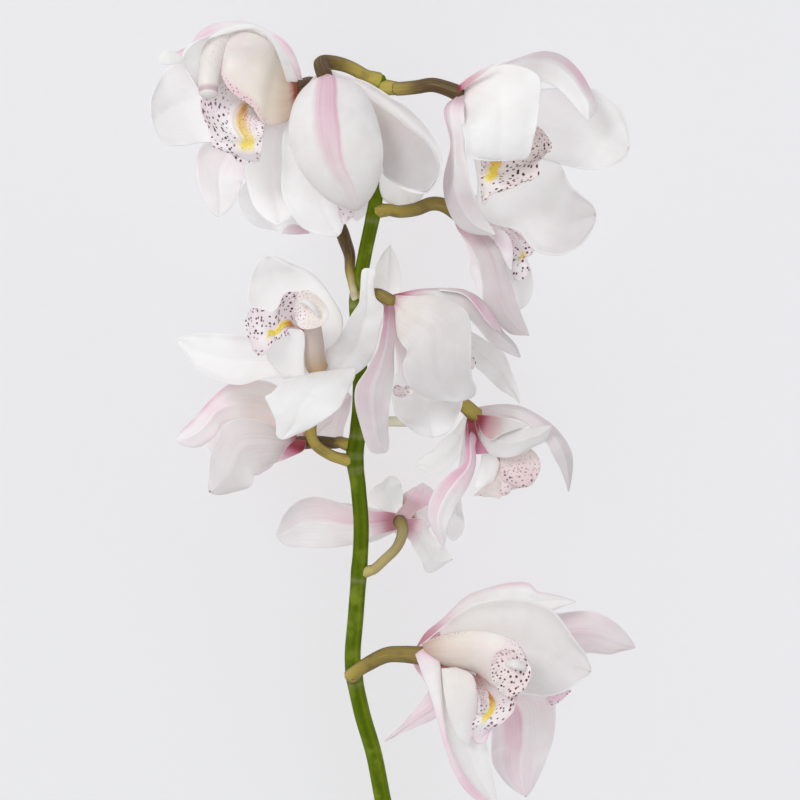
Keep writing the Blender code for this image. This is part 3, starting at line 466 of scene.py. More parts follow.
# Drawn outlines for some blades: the left edge, then the right one, for an eye above the blade that
# looks along it. Each edge is x, y, x, y and so on from foot to tip.
OUTLINES = {
    "a": {
        0: (None, (-43, 139, -44.5, 148, -50, 157.5, -58, 163.5, -66, 166.5, -72.3, 167.8, -80.6, 166.8,
        -88, 162.6, -92, 156.5, -99, 152.5, -105, 148)),
        1: ((-46, 137, -48, 130, -50, 121, -57, 119, -66, 121, -78, 128, -86, 133, -92, 142, -96, 149.5),
        (-47, 142, -51.5, 148, -56.7, 157.4, -63, 163.5, -68, 164.7, -75.4, 162, -83.7, 159, -91, 155, -96,
        149.5)),
        2: ((-60, 124, -75, 115, -87, 113.5, -94, 112, -102.5, 112, -107, 116, -109.5, 124), (-55, 140, -75,
        152, -88, 153, -94, 151, -101.5, 147, -104.6, 143, -108.5, 135, -109.8, 129, -109.5, 124)),
        3: ((-55, 125, -62, 115, -68, 105, -69, 99, -71, 91, -75, 84, -80, 80.3), (-62, 128, -80, 118, -88,
        112, -90, 105, -89.5, 97, -87, 88.7, -83.8, 83.5, -80, 80.3)),
        4: ((-46, 125, -45, 110, -45, 95, -47, 82, -54, 76.5), (-58, 125, -66, 112, -68, 103, -67.6, 95,
        -65, 86.6, -60, 80.3, -54, 76.5)),
        "lip": ((-52, 132, -57, 126, -59, 121, -59.8, 113.7, -60.8, 105.3, -65, 103.5, -68, 103.2), (-62,
        140, -75, 140, -84, 136, -88, 128, -84.5, 121, -83, 115, -81.7, 110.5, -77, 108.5, -73.3, 107.5,
        -71.3, 104, -68, 103.2)),
    },
    "b": {
        0: ((-26, 145, -22, 143.5, -19, 140.4, -14, 132.6, -9.6, 122, -7.4, 111.7, -7.8, 101.3, -10.4, 92.6,
        -14.8, 85.7, -18.5, 82.5), (-33, 145, -37, 142.5, -42.6, 136, -47, 127.4, -48.7, 117.8, -47, 108.3,
        -42.6, 98.7, -34, 89, -25.2, 84, -18.5, 82.5)),
        1: ((-30, 135, -24, 120, -20, 100, -21, 88, -24, 80, -26.5, 71), (-40, 138, -48, 128, -51.5, 115,
        -52.2, 98, -51.3, 89, -47.8, 81.3, -42.6, 75.2, -34, 72.2, -26.5, 71)),
        3: ((-8, 120, 3, 108, 9, 98, 11, 92, 9, 88, 4, 86), (-20, 120, -11, 104, -9, 98, -8.7, 92, -6, 87.5,
        4, 86)),
        2: ((-25, 141, -18, 140.5, -12.3, 138, -8, 135.5, -3.7, 132.5, 3, 128.5, 10, 122, 16, 114, 19.5,
        106, 18, 99, 12, 90), (-26, 136, -18, 120, -10, 105, -7.8, 98.7, -4.3, 96, 0.9, 92.6, 6, 90.4, 12,
        90)),
        "lip": ((-24, 110, -20, 95, -19.5, 84, -21.5, 79.5, -24.5, 76.5), (-36, 110, -31, 95, -27.5, 86,
        -26.5, 80, -24.5, 76.5)),
    },
    "c": {
        0: ((28, 140, 35, 144, 47.6, 149, 53.7, 151.4, 60.9, 153.6, 67, 153.4, 73, 150.8, 79.2, 144.7, 83.2,
        137.6, 86.3, 130.5, 86.8, 127.4, 82.7, 121.8), (30, 135, 45, 138, 55, 141, 61.4, 140, 65, 138.6, 70,
        135.6, 75, 130.5, 79.2, 125.4, 82.7, 121.8)),
        1: ((30, 141, 40.5, 146, 45.6, 147.3, 53.7, 145.8, 59.8, 142.7, 61.7, 138.6, 60.9, 129.5, 59.8,
        119.3, 57.8, 111.2, 56.3, 106, 51, 104.4, 43, 104.2), (25, 132.5, 26, 124.4, 28, 114.2, 28.6, 107,
        33, 105, 43, 104.2)),
        2: ((40, 134, 60, 137, 75, 137, 85.8, 137, 91.4, 134.6, 96.5, 129.5, 99.5, 122.4, 100.5, 116.3, 101,
        110.5), (42, 124, 55, 112, 62, 106, 67, 104.6, 72, 103, 79.2, 101.5, 85.3, 101.2, 91.4, 102, 97.5,
        105, 101, 110.5)),
        3: ((45, 120, 58, 108, 66, 106, 71, 103.5, 75, 94.9, 81.2, 88.8, 85.3, 85.7, 87, 81.7), (34, 110,
        34, 95, 34, 84, 36.5, 80, 41, 77, 47, 75.9, 53, 74, 55.5, 69.5, 60, 65.3, 67, 63.6, 73, 63.9, 79.2,
        67.4, 83.2, 72.5, 86.3, 77.6, 87, 81.7)),
        4: ((27, 134, 27.8, 129.5, 28.3, 119.3, 28.8, 109, 30.3, 99, 31.4, 92.9, 34.4, 84.7, 39.5, 76.6, 42,
        72.3), (23.2, 135, 19.7, 130.5, 19.7, 124.4, 21.7, 117.3, 22.2, 111.2, 20.7, 105, 18.6, 97, 19.2,
        88.8, 22.2, 80.7, 27.3, 74.6, 34.4, 72.5, 42, 72.3)),
        "lip": ((45, 125, 60, 120, 66.5, 112, 66, 109, 60, 104, 60.8, 101, 60.4, 98, 54.8, 94.9, 46.6, 91.8,
        40.5, 89.8, 37, 84.7), (33, 122, 33, 112, 35.4, 104.3, 35, 94.9, 36, 86.7, 37, 84.7)),
    },
    "d": {
        0: ((38, 75, 44, 66, 48, 55, 52, 42, 57, 28), (24, 76, 30, 69, 34, 62, 36, 50, 36, 45, 40, 36, 45,
        32, 49, 29, 57, 28)),
        1: ((34, 74, 40, 60, 44, 50, 44, 42), (24, 77, 29, 69, 30.7, 62, 30, 57, 33, 52, 35, 47, 39, 42, 44,
        42)),
        "lip": ((42, 84, 48, 77, 53.5, 72.5, 58, 68, 59.4, 65.5, 56.5, 63.8, 55.3, 61.5, 56.8, 59, 56.2,
        55.5, 53.5, 52.6), (38, 80, 44, 76, 48, 72, 49.8, 65, 49.4, 58, 50.3, 53.6, 53.5, 52.6)),
    },
    "g": {
        0: ((-50, -18, -65, -14, -77, -10, -80, -14, -84, -18, -90, -21, -96, -20, -99, -18), (-46, -10,
        -50, 2, -57, 8, -66, 9, -75, 7.5, -83, 1, -90, -7, -97, -14, -99, -18)),
        1: ((-43, -23, -50, -26, -60, -30, -64, -33, -65, -38, -70, -40, -80, -42, -85, -41), (-46, -17,
        -60, -9.5, -70, -8, -77, -10, -79, -15, -83, -23, -84, -33, -85, -41)),
        3: ((-43, -14, -36, -4, -30, 1, -24, 4, -21, 2), (-39, -20, -33, -21, -29, -19.5, -26, -18, -24.5,
        -12, -22, -5, -21, 2)),
    },
    "e": {
        0: ((-45, 22, -60, 35, -67, 41.5, -67, 48.6, -65, 55.7, -61.8, 61.8, -58, 63.6), (-30, 14, -27, 24,
        -25, 33, -25.7, 38.4, -29.8, 45.6, -35, 52.7, -42, 57.8, -49.1, 60.8, -55.2, 63, -58, 63.6)),
        1: ((-45, 7, -52.7, 10, -61.3, 8.9, -69.5, 6.4, -79.7, 7.9, -85.8, 11, -90.8, 15, -94.9, 21.1,
        -98.2, 26.6), (-45, 16, -60, 27, -67.4, 28.3, -73.6, 28.8, -81.7, 29.3, -89.8, 29.1, -94.9, 28.3,
        -98.2, 26.6)),
        2: ((-28, 13, -20, 15, -19.6, 10, -21.7, 5.9, -24.2, 0.8, -26.8, -3.8, -33.9, -9.4, -40, -12.9,
        -47.1, -15.5, -51.7, -18), (-38, 11, -48.1, 9.4, -52.7, 6.4, -56.3, 2.8, -59.3, 1.8, -58.8, 0.3,
        -56.3, -4.3, -54.2, -9.4, -54.2, -16.5, -51.7, -18)),
        3: ((-32.9, 14, -32.3, 22.2, -28.8, 24.2, -24.7, 31.8, -20.2, 39.2, -17.8, 42.5, -17.3, 48.6, -16.6,
        56.7, -14, 57.6), (-24, 12, -18.6, 12, -12.5, 18.1, -9.5, 26.2, -7.9, 35.4, -7, 41, -9, 43, -10.8,
        45, -11.5, 51.7, -10.5, 56.7, -14, 57.6)),
        4: ((-20, 30, -14, 45, -11.5, 57, -8.2, 63.8, -3.9, 68.8), (-10, 30, -2, 42, 0.5, 50, 0.3, 56, -0.9,
        61.8, -3.9, 68.8)),
        "lip": ((-43, 22, -43, 30.3, -47.1, 28.3, -51.2, 27.2, -55.2, 25.2, -56.3, 22.2, -60.3, 19.1, -63.9,
        21.6, -66, 27, -68, 31), (-36, 24, -38, 36, -42, 46, -47.1, 47.3, -51.2, 45.6, -52.2, 41.5, -55.2,
        38.4, -59.3, 39.4, -64.4, 39.8, -67, 36, -68, 31)),
    },
    "f": {
        0: ((-2.5, 45.7, 3.6, 47.7, 10.7, 48.9, 18.9, 48.9, 27, 48.2, 33.1, 46.2, 38.2, 41.6, 42.3, 35.5,
        44.9, 30.4, 50.4, 24.3, 52.7, 18.2), (5, 42, 15, 44, 26, 41, 30, 36, 35, 30, 40, 24, 47.4, 20.2,
        52.7, 18.2)),
        1: ((0, 43.5, 10.7, 45.7, 18.9, 44.8, 26, 41.6, 30, 37.5, 31.1, 29.4, 31.1, 19.2, 31.6, 10, 33.6,
        4.9, 31.1, 0.3, 25, -1.2), (-4, 40, -3.5, 36, -2.5, 31.4, 0.5, 24.3, 3.1, 21.2, 1, 15, 2.6, 8, 6.6,
        3.2, 11, 1, 17.9, -0.7, 25, -1.2)),
        2: ((-3, 40, -2.2, 34, -2, 30.4, -2.5, 19.2, -3, 8, -4.5, -2.2, -5, -12.4, -4.7, -18, -5.2, -23),
        (-4.5, 40, -7.1, 34.5, -9.6, 22.3, -12.2, 18.1, -14.7, 13, -18.8, 7, -19.8, 1.9, -18.8, -6.3, -16.3,
        -15.3, -14, -20.5, -11.3, -23.2, -5.2, -23)),
        3: ((20, 20, 27, 5, 27.5, -2, 25, -8.3, 20.9, -14.4, 14.8, -16.7), (2, 20, -3, 8, -3.5, 1.9, -2.5,
        -6.3, 2.6, -11.4, 8.7, -15.4, 14.8, -16.7)),
        4: ((20, 35, 35, 28, 44, 22, 46.4, 20.2, 49.4, 12, 51.5, 5.9, 52.7, -1.7), (15, 28, 28, 20, 32.1,
        15.1, 37.2, 11, 43.3, 4.9, 48.4, 1.9, 52.7, -1.7)),
        "lip": ((10, 30, 12, 15, 9, 6, 4, 2, 0, 1, -3, 2), (4, 28, 5, 15, 5, 8, 1.5, 5.8, -2.5, 6.3, -3,
        2)),
    },
    "h": {
        0: ((34, -3, 41, -2.2, 46.8, -1.8, 52.5, -2.6, 59.1, -5.7, 65.6, -9.8, 70.6, -14.7, 74.7, -20.4,
        76.3, -25.4, 75.9, -31.1, 74.9, -37, 74.2, -40.7), (35.5, -6.5, 44, -7.2, 52, -8.8, 57, -11.5, 61,
        -15.5, 64.3, -19, 67.4, -24.5, 70.6, -30.1, 72.8, -35.7, 74.2, -40.7)),
        1: ((36, -13, 38.5, -17.2, 41, -15.5, 45, -12.8, 53.3, -12.3, 60, -11.9, 67.3, -11), (33.3, -9.5,
        34.3, -15, 36.5, -19.5, 40, -24, 46, -25.3, 52, -24, 58.7, -20.5, 64, -18, 67.3, -11)),
        2: ((31, -11, 32.8, -16.3, 33, -22, 33.6, -26.2, 32.8, -31.1, 30.4, -36.8, 27.1, -42.6, 23.8, -48.3,
        21.3, -54.1, 20.5, -59.8, 19.3, -64.9), (28, -10, 28.7, -16.3, 28.7, -23.7, 27.1, -28.6, 22.1,
        -31.9, 17.2, -36, 13.9, -41.8, 12.3, -47.5, 13.1, -54.1, 15.6, -59.8, 19.3, -64.9)),
        3: ((29, -14, 28, -22, 24, -28, 18.9, -32, 15.6, -34, 11, -32, 6.6, -29), (27, -10, 23, -13.9, 18,
        -18, 14.8, -22.1, 9.8, -25.4, 6.6, -29)),
        4: ((29, -26, 27, -40, 28, -50, 29.1, -56, 27, -61, 23.5, -64), (28, -26, 22, -40, 21.5, -52, 21,
        -58, 21.5, -62, 23.5, -64)),
        "lip": ((45, -15, 56.6, -21.3, 60.7, -24.5, 61.9, -28.6, 60.7, -32.7, 58.2, -36.8, 54.1, -38.3,
        49.2, -37.2, 48.8, -40.9, 46.4, -42.2, 43.5, -42.5), (40, -20, 43, -26, 43.5, -31.1, 41, -36, 36.1,
        -39.7, 32.8, -41.8, 36, -42.5, 40.2, -42, 43.5, -42.5)),
    },
    "l": {
        4: ((-39, 73.8, -45, 73.3, -50, 73.4, -55, 75.8), (-38, 86, -46, 84, -50.5, 82, -55, 75.8)),
    },
    "i": {
        0: ((-4, -57, -15, -62, -22, -64.5, -32, -66, -42, -65.5, -50, -65, -53.5, -62, -55.3, -60), (-4,
        -50, -12, -49.5, -22, -47, -33, -43.5, -40, -43, -47, -46, -52, -52, -54, -57, -55.3, -60)),
        1: ((-3, -51, -9, -48, -14, -44, -12, -39.5, -8, -37, -5, -34), (1, -49, 1.5, -44, 1, -39, 0, -36,
        -2, -34, -5, -34)),
        2: ((1, -48, 4, -43, 7, -38.5, 10, -36.5), (5, -51, 11, -47.5, 16, -44, 15, -40.5, 10, -36.5)),
        3: ((7, -52, 10, -53, 13, -58, 20, -66, 24, -71), (3, -58, 4, -60, 6, -66, 10, -72, 11, -76, 14,
        -77, 19, -74, 24, -71)),
    },
    "j": {
        0: ((8, -107, 10.9, -102.2, 17.1, -97.6, 23.2, -91.4, 29.3, -86.1, 37, -83, 46.2, -80.7, 53, -80,
        57.5, -80.8, 60, -84, 66.1, -85.3, 77.5, -88.6), (15, -108, 25, -102, 40, -98, 60, -95, 72.2, -90.5,
        77.5, -88.6)),
        1: ((12, -106, 20, -98, 30, -90, 42, -87, 55, -87, 66, -91, 70.7, -96, 75.3, -102.9, 81.4, -111.3,
        84.3, -119.2), (14, -112, 25, -118, 35, -124, 45, -128, 56.9, -129.4, 63, -129.6, 72.2, -127.4,
        78.3, -123, 84.3, -119.2)),
        2: ((45, -98, 60, -93, 69.9, -94, 75.3, -93.2, 86, -93, 93.6, -96.8, 99.8, -102.9, 103.8, -109.2),
        (45, -108, 65, -112, 81.4, -111.5, 87.5, -112.1, 93, -112.2, 97, -110.6, 103.8, -109.2)),
        3: ((50, -122, 62, -126, 67.6, -131.3, 68.2, -140.4, 67.6, -148.1, 64.5, -157.3, 61.5, -164.9, 58.4,
        -171, 55.4, -174.5), (30, -128, 38, -136, 40, -143.5, 40, -155.8, 41.6, -161.9, 47.7, -169.5, 55.4,
        -174.5)),
        4: ((14, -110, 18, -114, 25, -117, 33, -118, 34, -128, 35, -138, 38, -150, 40, -162, 42, -172, 44,
        -181), (6.5, -111, 9.4, -117.5, 12.5, -125.1, 14.8, -131.3, 18.6, -142, 21.7, -155.8, 26.3, -164.9,
        32.4, -172.6, 38, -178, 44, -181)),
        5: ((18, -130, 18, -137, 15.5, -140.4, 7.9, -143.5, 0.2, -146.8, -7, -150.5), (12, -122, 13.2,
        -126.7, 6.3, -135.8, 0.2, -143.5, -7, -150.5)),
        "lip": ((36, -112, 47, -118, 52, -124, 51, -130.5, 49.3, -135.8, 44.6, -140.4, 40, -143, 37,
        -149.6), (24, -116, 30, -120, 34, -128, 33.9, -134.3, 30.9, -143.5, 31.5, -148, 34, -150, 37,
        -149.6)),
    },
}

# Where the callus starts and ends, as shares of the lip's half width, and how wide it is.
CALLUS = {"a": (0.0, 0.3, 1.8), "c": (-0.55, -0.55, 1.2), "d": (-0.1, -0.1, 1.0), "e": (0.25, 0.6, 1.1),
          "j": (-0.35, -0.35, 1.0)}

# A lip's own colour values, as times and more from foot to tip, where its large spots begin, and
# lips without a dark throat. The callus begins at one given place and is orange up to another, and
# CALLUS_LINES gives its middle from foot to tip where it bends. COLUMN_PAINTED_SHADES says how much
# painted shade darkens the skin of a column.
LIP_TONES = {
    "b": {"spots": (0.5, 0)},
    "h": {"spots": (0.5, 0), "specks": (0.2, 0), "warm": (1, 0.35)},
    "c": {"warm": (1, 0.25), "pink": (0.5, 0)},
    "i": {"spots": (0, 0), "specks": (0, 0)},
    "a": {"pink": (0.5, 0), "orange": (0.85, 0), "callus": ((0.55, 0.55, 0.55, 0.75, 1, 1), 0)},
    "g": {"spots": (0, 0), "specks": (0, 0)},
    "e": {"pink": (0.6, 0.03)},
    "f": {"spots": (0.6, 0), "warm": (1, 0.15)},
    "j": {"spots": ((1, 1, 1, 1, 1, 1, 1, 0.9, 0.1, 0.1), 0), "pink": (1, (0, 0, 0, 0, 0, 0, 0, 0, 0.25,
         0.3))},
}
SPOTS_FROM = {"e": 0.2, "c": 0.3}
ORANGE_TO = {"a": 0.55}
CALLUS_FROM = {"d": 0.5}
CALLUS_LINES = {"a": (0.0, 0.0, 0.05, 0.15, 0.3, 0.38, 0.38, 0.33, 0.3, 0.3, 0.3)}
COLUMN_PAINTED_SHADES = {"e": 0.6}
PALE_THROATS = "bdf"

# How brown each stalk turns toward its bloom, and how pale it is before that.
STALK_TONES = {
    "a": (1, 0),
    "b": ((0, 0.3, 0.9, 1.2), 0),
    "c": (1, 0),
    "d": (0.6, 0),
    "e": (0.25, 0),
    "f": (0.6, 0),
    "g": (1.2, 0),
    "h": (0.15, 0.9),
    "i": (0.5, 0.15),
    "j": (0.6, 0),
    "l": ((0.6, 1, 1.4), (1, 1, 0.25, 0, 0, 0, 0, 0, 0, 0)),
}

# Folded parts drawn by their edges, from foot to tip, with heights along them and how far their
# middle stands out. Edges are x, y, x, y and so on, and colour values run from foot to tip.
# In a petal sheet's tints, tone is painted light over 0 and painted shade under it.
SHEETS = {
    "a": (
        {"kind": "lip", "outer_up": 1, "bulge": 2.5, "heights": (64, 68, 73, 77, 78, 78, 76, 67, 65),
         "ruffle": 0.2, "right_heights": (60, 61, 63, 66, 68, 68, 65), "rim_tip": 0, "left": (-45, 134,
         -46.4, 125, -50.6, 121, -58.9, 120, -61.7, 123.1, -64.8, 128.3, -71.3, 132.1, -75.5, 136.5, -78,
         141, -79.3, 146, -79.5, 151, -78.5, 156, -76.5, 159), "right": (-45, 140, -52.7, 148.7, -55.4,
         155.6, -61, 159.8, -67.9, 161.2, -73, 160.8, -76.5, 159), "tints": {"throat": (1.7, 0.4, 0.05, 0,
         0, 0, 0), "warm": (1.3, 1.1, 0.8, 0.6, 0.4, 0.2, 0.1), "specks": (0.5, 0.8, 0.1, 0, 0.8, 1, 1, 0.6,
         0, 0, 0), "pink": (0, 0, 0, 0, 0.3, 0.45, 0.45, 0.25, 0, 0, 0)}, "rims": ("specks", "pink")},
        {"kind": "petal", "outer_up": 1, "bulge": 0.8, "heights": (72, 82, 88, 90, 88, 84), "left": (-49.5,
         139, -52, 147, -56.5, 157, -61, 160.5, -66.7, 161, -75, 159.5, -84, 157), "right": (-44.5, 139,
         -49, 150, -53.5, 156.5, -58, 160.7, -63, 163, -70, 163.5, -78, 161, -84, 157),
         "tints": {"flush": 0, "deep": 0}},
        {"kind": "petal", "outer_up": 1, "bulge": 0.5, "heights": (78, 80, 80), "left": (-95, 147.5, -100,
         146, -105, 146.5), "right": (-95, 149.5, -98, 151.5, -102, 152.5, -105, 150, -105, 146.5),
         "tints": {"flush": 0, "deep": 0}},
    ),
    "c": (
        {"kind": "petal", "outer_up": 1, "bulge": 0.6, "heights": (66, 71, 75, 77), "left": (25.5, 137.5,
         30, 141, 35, 144, 41, 147), "right": (26, 135, 31, 138.5, 36, 142.5, 41, 147),
         "tints": {"stripe": 1.3, "band": 1.5, "deep": 1.6, "warm": 0.8}},
    ),
    "b": (
        {"kind": "petal", "outer_up": 0, "bulge": -1.2, "heights": (70.5, 71.5, 72.5, 73.5, 74),
         "left": (-15, 133, -9, 129, -3.5, 125.5, 4, 119.5, 11, 114.5, 15.5, 108, 17.5, 100, 12, 91),
         "right": (-15, 133, -13, 122, -9, 108, -7.5, 98.7, -4, 96, 1.5, 93, 12, 91), "tints": {"flush": 0,
         "deep": 0, "warm": 0.6, "tone": (-0.2, -1, -1.3, -1.4)}},
        {"kind": "petal", "outer_up": 0, "bulge": 0.3, "heights": (64, 65, 64), "left": (-14, 88, -14.5, 84,
         -15.5, 81, -19, 78.3), "right": (-23, 88, -22, 84, -21, 80, -19, 78.3), "tints": {"flush": 0.3,
         "deep": 0}},
    ),
    "d": (
        {"kind": "petal", "outer_up": 0, "bulge": 0.8, "heights": (56, 57, 57, 56), "left": (41.5, 76, 45.5,
         74.5, 48.7, 70.5, 49.7, 64.5, 49, 57), "right": (40.5, 74, 42, 68, 44.5, 62, 49, 57),
         "tints": {"flush": 1.1, "deep": 0, "warm": 0}},
    ),
    "f": (
        {"kind": "petal", "outer_up": 1, "bulge": 0.5, "heights": (70, 72, 73, 73, 72, 71),
         "right_heights": (76, 78.5, 79.5, 79, 77, 71), "left": (17, 49, 27, 48.3, 31.3, 46.4, 35.7, 43.4,
         40, 38.5, 43, 33.3, 44.3, 28.8), "right": (17, 48, 26, 46.6, 30.5, 43.7, 33.9, 39.4, 37.4, 34.6,
         41.3, 30.3, 44.3, 28.8), "tints": {"flush": (0.2, 0.7, 1.2, 1.4, 1.2), "stripe": (0.1, 0.3, 0.5,
         0.4, 0.3), "band": 1.5, "deep": 0, "tone": -0.2}},
        {"kind": "lip", "outer_up": 0, "bulge": 0.3, "heights": (66, 67, 66), "left": (30, 21, 32, 19, 33.3,
         16.5, 32, 13.6), "right": (29, 20, 29.5, 17, 30.5, 14.5, 32, 13.6), "tints": {"spots": 1,
         "warm": 0.3}},
    ),
    "g": (
        {"kind": "petal", "outer_up": 1, "bulge": 0.4, "heights": (50, 57, 61, 61), "left": (-41.3, -18,
         -42.4, -22.3, -48.3, -25.2, -53.8, -27.3), "right": (-46, -17.5, -48.5, -19.5, -51.5, -23.3, -53.8,
         -27.3), "tints": {"flush": 0.3, "stripe": (0.5, 0.3, 0.2), "band": 1.5, "deep": 1.6, "depth": 5,
         "warm": 1, "tone": -0.8}},
    ),
    "l": (
        {"kind": "petal", "outer_up": 1, "bulge": 0.4, "heights": (35.5, 36.5, 36.5, 36), "left": (-40,
         73.8, -46, 73.3, -52.5, 73.8), "right": (-41, 76, -45, 77.5, -49.5, 77.4, -52.5, 73.8),
         "tints": {"flush": 0.5, "stripe": 0.8, "band": 1.2, "deep": 0}},
    ),
    "e": (
        {"kind": "lip", "outer_up": 0, "bulge": -3, "heights": (82, 86, 88, 88, 87), "ruffle": 0.3,
         "left": (-46, 42, -44, 47, -40, 47.8, -35.5, 45, -32, 41, -31, 37.5), "right": (-46, 36, -44, 31.5,
         -39.5, 30.6, -35, 31.8, -32, 34.5, -31, 37.5), "tints": {"specks": (1, 0.8, 0.3, 0.1, 0),
         "pink": (0.12, 0.03, 0), "warm": (0, 0.2, 0.5, 0.35, 0)}},
        {"kind": "petal", "outer_up": 0, "bulge": 0.6, "heights": (70, 74, 77, 80), "left": (-45, 9, -51,
         10.5, -56, 15, -58.5, 20, -55, 26, -48, 31), "right": (-41.5, 9, -42, 18, -41.5, 26, -42.5, 30.5,
         -48, 31), "tints": {"flush": 0.08, "deep": 0, "warm": (0.5, 0.1), "tone": 0.5}},
    ),
    "h": (
        {"kind": "petal", "outer_up": 1, "bulge": 1, "heights": (47, 46, 44), "left": (44.8, -24, 43.6, -30,
         40.8, -35.5, 35, -40.5), "right": (36, -24, 35, -30, 33.5, -36, 33, -39, 35, -40.5),
         "tints": {"flush": 0, "deep": 0, "warm": 0, "tone": 0.9}},
        # On h's outer lip sheet, throat darkens the sheet toward its tip as painted shade.
        {"kind": "lip", "outer_up": 1, "bulge": 1.2, "heights": (49, 51, 52, 52, 51, 49), "ruffle": 0.4,
         "left": (55, -19, 60.7, -24.5, 62, -28.6, 60.7, -33, 58, -37.4, 54, -38.5, 49, -37.8),
         "right": (44, -20, 44, -26, 44, -31, 44.5, -35, 49, -37.8), "tints": {"spots": (0, 0, 0.1, 1, 1,
         1), "specks": (0, 0.3, 0.7, 0, 0), "pink": (0.05, 0.08, 0.15, 0.25, 0.3), "warm": (0.4, 0.35, 0.25,
         0.15), "throat": (0.08, 0.09, 0.11, 0.13)}},
        {"kind": "lip", "outer_up": 1, "bulge": 1.8, "heights": (50, 51, 50), "left": (45, -33.5, 48.5, -35,
         49.2, -39, 46.5, -42), "right": (45, -33.5, 44.5, -37, 44.3, -40.5, 46.5, -42),
         "tints": {"specks": (0.3, 0.3), "spots": (0.3, 1), "pink": (0.15, 0.3), "warm": 0.2}},
        {"kind": "lip", "outer_up": 1, "bulge": 1, "heights": (47, 48, 47), "left": (44.5, -36, 44.5, -43.2,
         42, -43, 38, -41.5, 34, -41.5, 32.3, -42.7), "right": (41, -36, 39, -37.5, 36, -39, 32.3, -42.7),
         "tints": {"specks": (0, 0.1, 0.2, 1), "spots": (0, 0, 0, 1), "warm": 0.3}},
        {"kind": "petal", "outer_up": 0, "bulge": -1, "heights": (56, 59, 60, 59), "left": (34, -6.3, 44,
         -7, 50, -8.8, 57, -11), "right": (34, -9, 36, -14.5, 40, -18, 45, -15, 57, -11),
         "tints": {"flush": (0.6, 0.4, 0.1, 0), "stripe": (0.5, 0.2, 0, 0), "band": 1.5, "deep": 1.15,
         "depth": 2.6, "warm": 1.5, "tone": (-0.3, -0.4, -0.4)}},
        {"kind": "petal", "outer_up": 0, "bulge": -1, "heights": (55, 54, 53), "left": (33, -9, 34.3, -15,
         36.5, -19.5, 40, -23.5), "right": (29.5, -10, 30, -17, 31, -23.5, 40, -23.5),
         "tints": {"flush": 0.7, "deep": 1.6, "depth": 7, "stripe": (0.6, 0.6, 0.8), "band": 1.5,
         "veins": 0.3, "warm": 1, "tone": -0.6}},
    ),
    "j": (
        {"kind": "lip", "outer_up": 1, "bulge": 5, "heights": (70, 78, 84, 88, 91, 92), "ruffle": 0.3,
         "right_heights": (68, 73, 78, 83, 90, 92), "left": (9.4, -106.8, 17.1, -102.9, 26.3, -100.6, 35.4,
         -100.3, 44.6, -102.2, 50.8, -105.2, 55.4, -112.9, 56.5, -117), "right": (12, -113, 17.8, -116,
         23.2, -117.5, 30.9, -118.2, 36, -121, 41, -125, 47, -128, 52, -126, 56, -120, 56.5, -117),
         "tints": {"throat": (0.6, 0.15, 0.03, 0, 0, 0), "warm": (0.9, 0.7, 0.5, 0.35, 0.2, 0.1),
         "pink": (0.05, 0, 0, 0, 0.1, 0.15), "specks": (1, 0.8, 0.1, 0, 0.8, 1)}, "rims": ("specks",)},
        {"kind": "lip", "outer_up": 0, "bulge": -3, "heights": (95, 97, 98, 97, 95), "ruffle": 0.9,
         "left": (41.5, -109.5, 46, -107.5, 52, -109.5, 56, -114, 57, -119, 55, -124, 51, -127.5, 47, -129),
         "right": (40.5, -111, 39, -116, 40, -121.5, 43, -126, 47, -129), "tints": {"specks": (1, 0.2, 0),
         "spots": (0, 0.9, 1, 1), "pink": (0.2, 0.1, 0.1), "warm": 0.3}},
        {"kind": "lip", "outer_up": 1, "bulge": 0.5, "heights": (60, 62, 62), "left": (64, -130, 70, -127,
         75.3, -127.4), "right": (64, -133, 67, -134, 71, -132, 75.3, -127.4), "tints": {"specks": (0.8, 1),
         "pink": (0.35, 0.5)}},
        {"kind": "petal", "outer_up": 0, "bulge": 1.2, "heights": (79, 83, 84, 83, 81, 79), "left": (24,
         -116.5, 31, -119, 33, -123.5, 33.8, -132, 32.5, -141.5, 30, -151), "right": (18, -117, 19, -126,
         21, -137, 25, -146.5, 30, -151), "tints": {"flush": 0.02, "deep": 0, "warm": 0.5}},
        {"kind": "petal", "outer_up": 1, "bulge": 1.5, "heights": (71, 75, 79, 82, 81, 77, 71), "left": (10,
         -108.5, 17, -112.6, 18, -121.8, 18.6, -132, 19.8, -142.6, 23.3, -154, 30.8, -167, 41, -176.5),
         "right": (6.5, -111, 10, -120.7, 13.5, -130, 17, -142.6, 20.4, -154, 26, -167, 34, -175.5, 41,
         -176.5), "tints": {"tone": 0.2, "flush": (0.8, 0.4, 0.3, 0.8, 1.3, 1.1, 0.5), "stripe": (0.4, 0, 0,
         0.1, 0.4, 0.4, 0), "deep": 0, "band": 1.2}},
    ),
}

# Anthers seen in an open throat, as a line of x, y, z and radius.
ANTHERS = {
    "e": ((-43.5, 42.5, 86.5, 0.9), (-41, 42.6, 88, 1.3), (-38, 40.3, 88.5, 1.4), (-36, 37.2, 87.5, 1.0)),
    "j": ((47.5, -114.3, 96.5, 1.8), (50, -114.6, 97.5, 2.3), (53, -115.6, 97, 1.8)),
}

# Paleness, place and half length of a joint's ring, for joints that stand out.
JOINTS = {"l": (0.3, 41.2, 0.8)}

# How far a blade's left and right edges turn over toward its outer side, in millimetres.
TURNS = {
    "a": {1: (1.0, 3.0), 2: (1.0, 1.0)},
    "b": {2: (4.0, 0.5), 1: (0.5, 1.5)},
    "c": {1: (1.0, 2.5), 2: (1.5, 1.5), 3: (1.5, 1.5)},
    "e": {0: (0.5, -2.5), 1: (1.0, 1.0)},
    "j": {1: (2.0, 1.0)},
}

def unit(vectors):
    """The vectors at length one."""
    vectors = np.asarray(vectors, dtype=float)
    return vectors / np.linalg.norm(vectors, axis=-1, keepdims=True)


def distances(points):
    """How far each point lies along the line through the points."""
    return np.concatenate(([0.0], np.cumsum(np.linalg.norm(np.diff(points, axis=0), axis=1))))


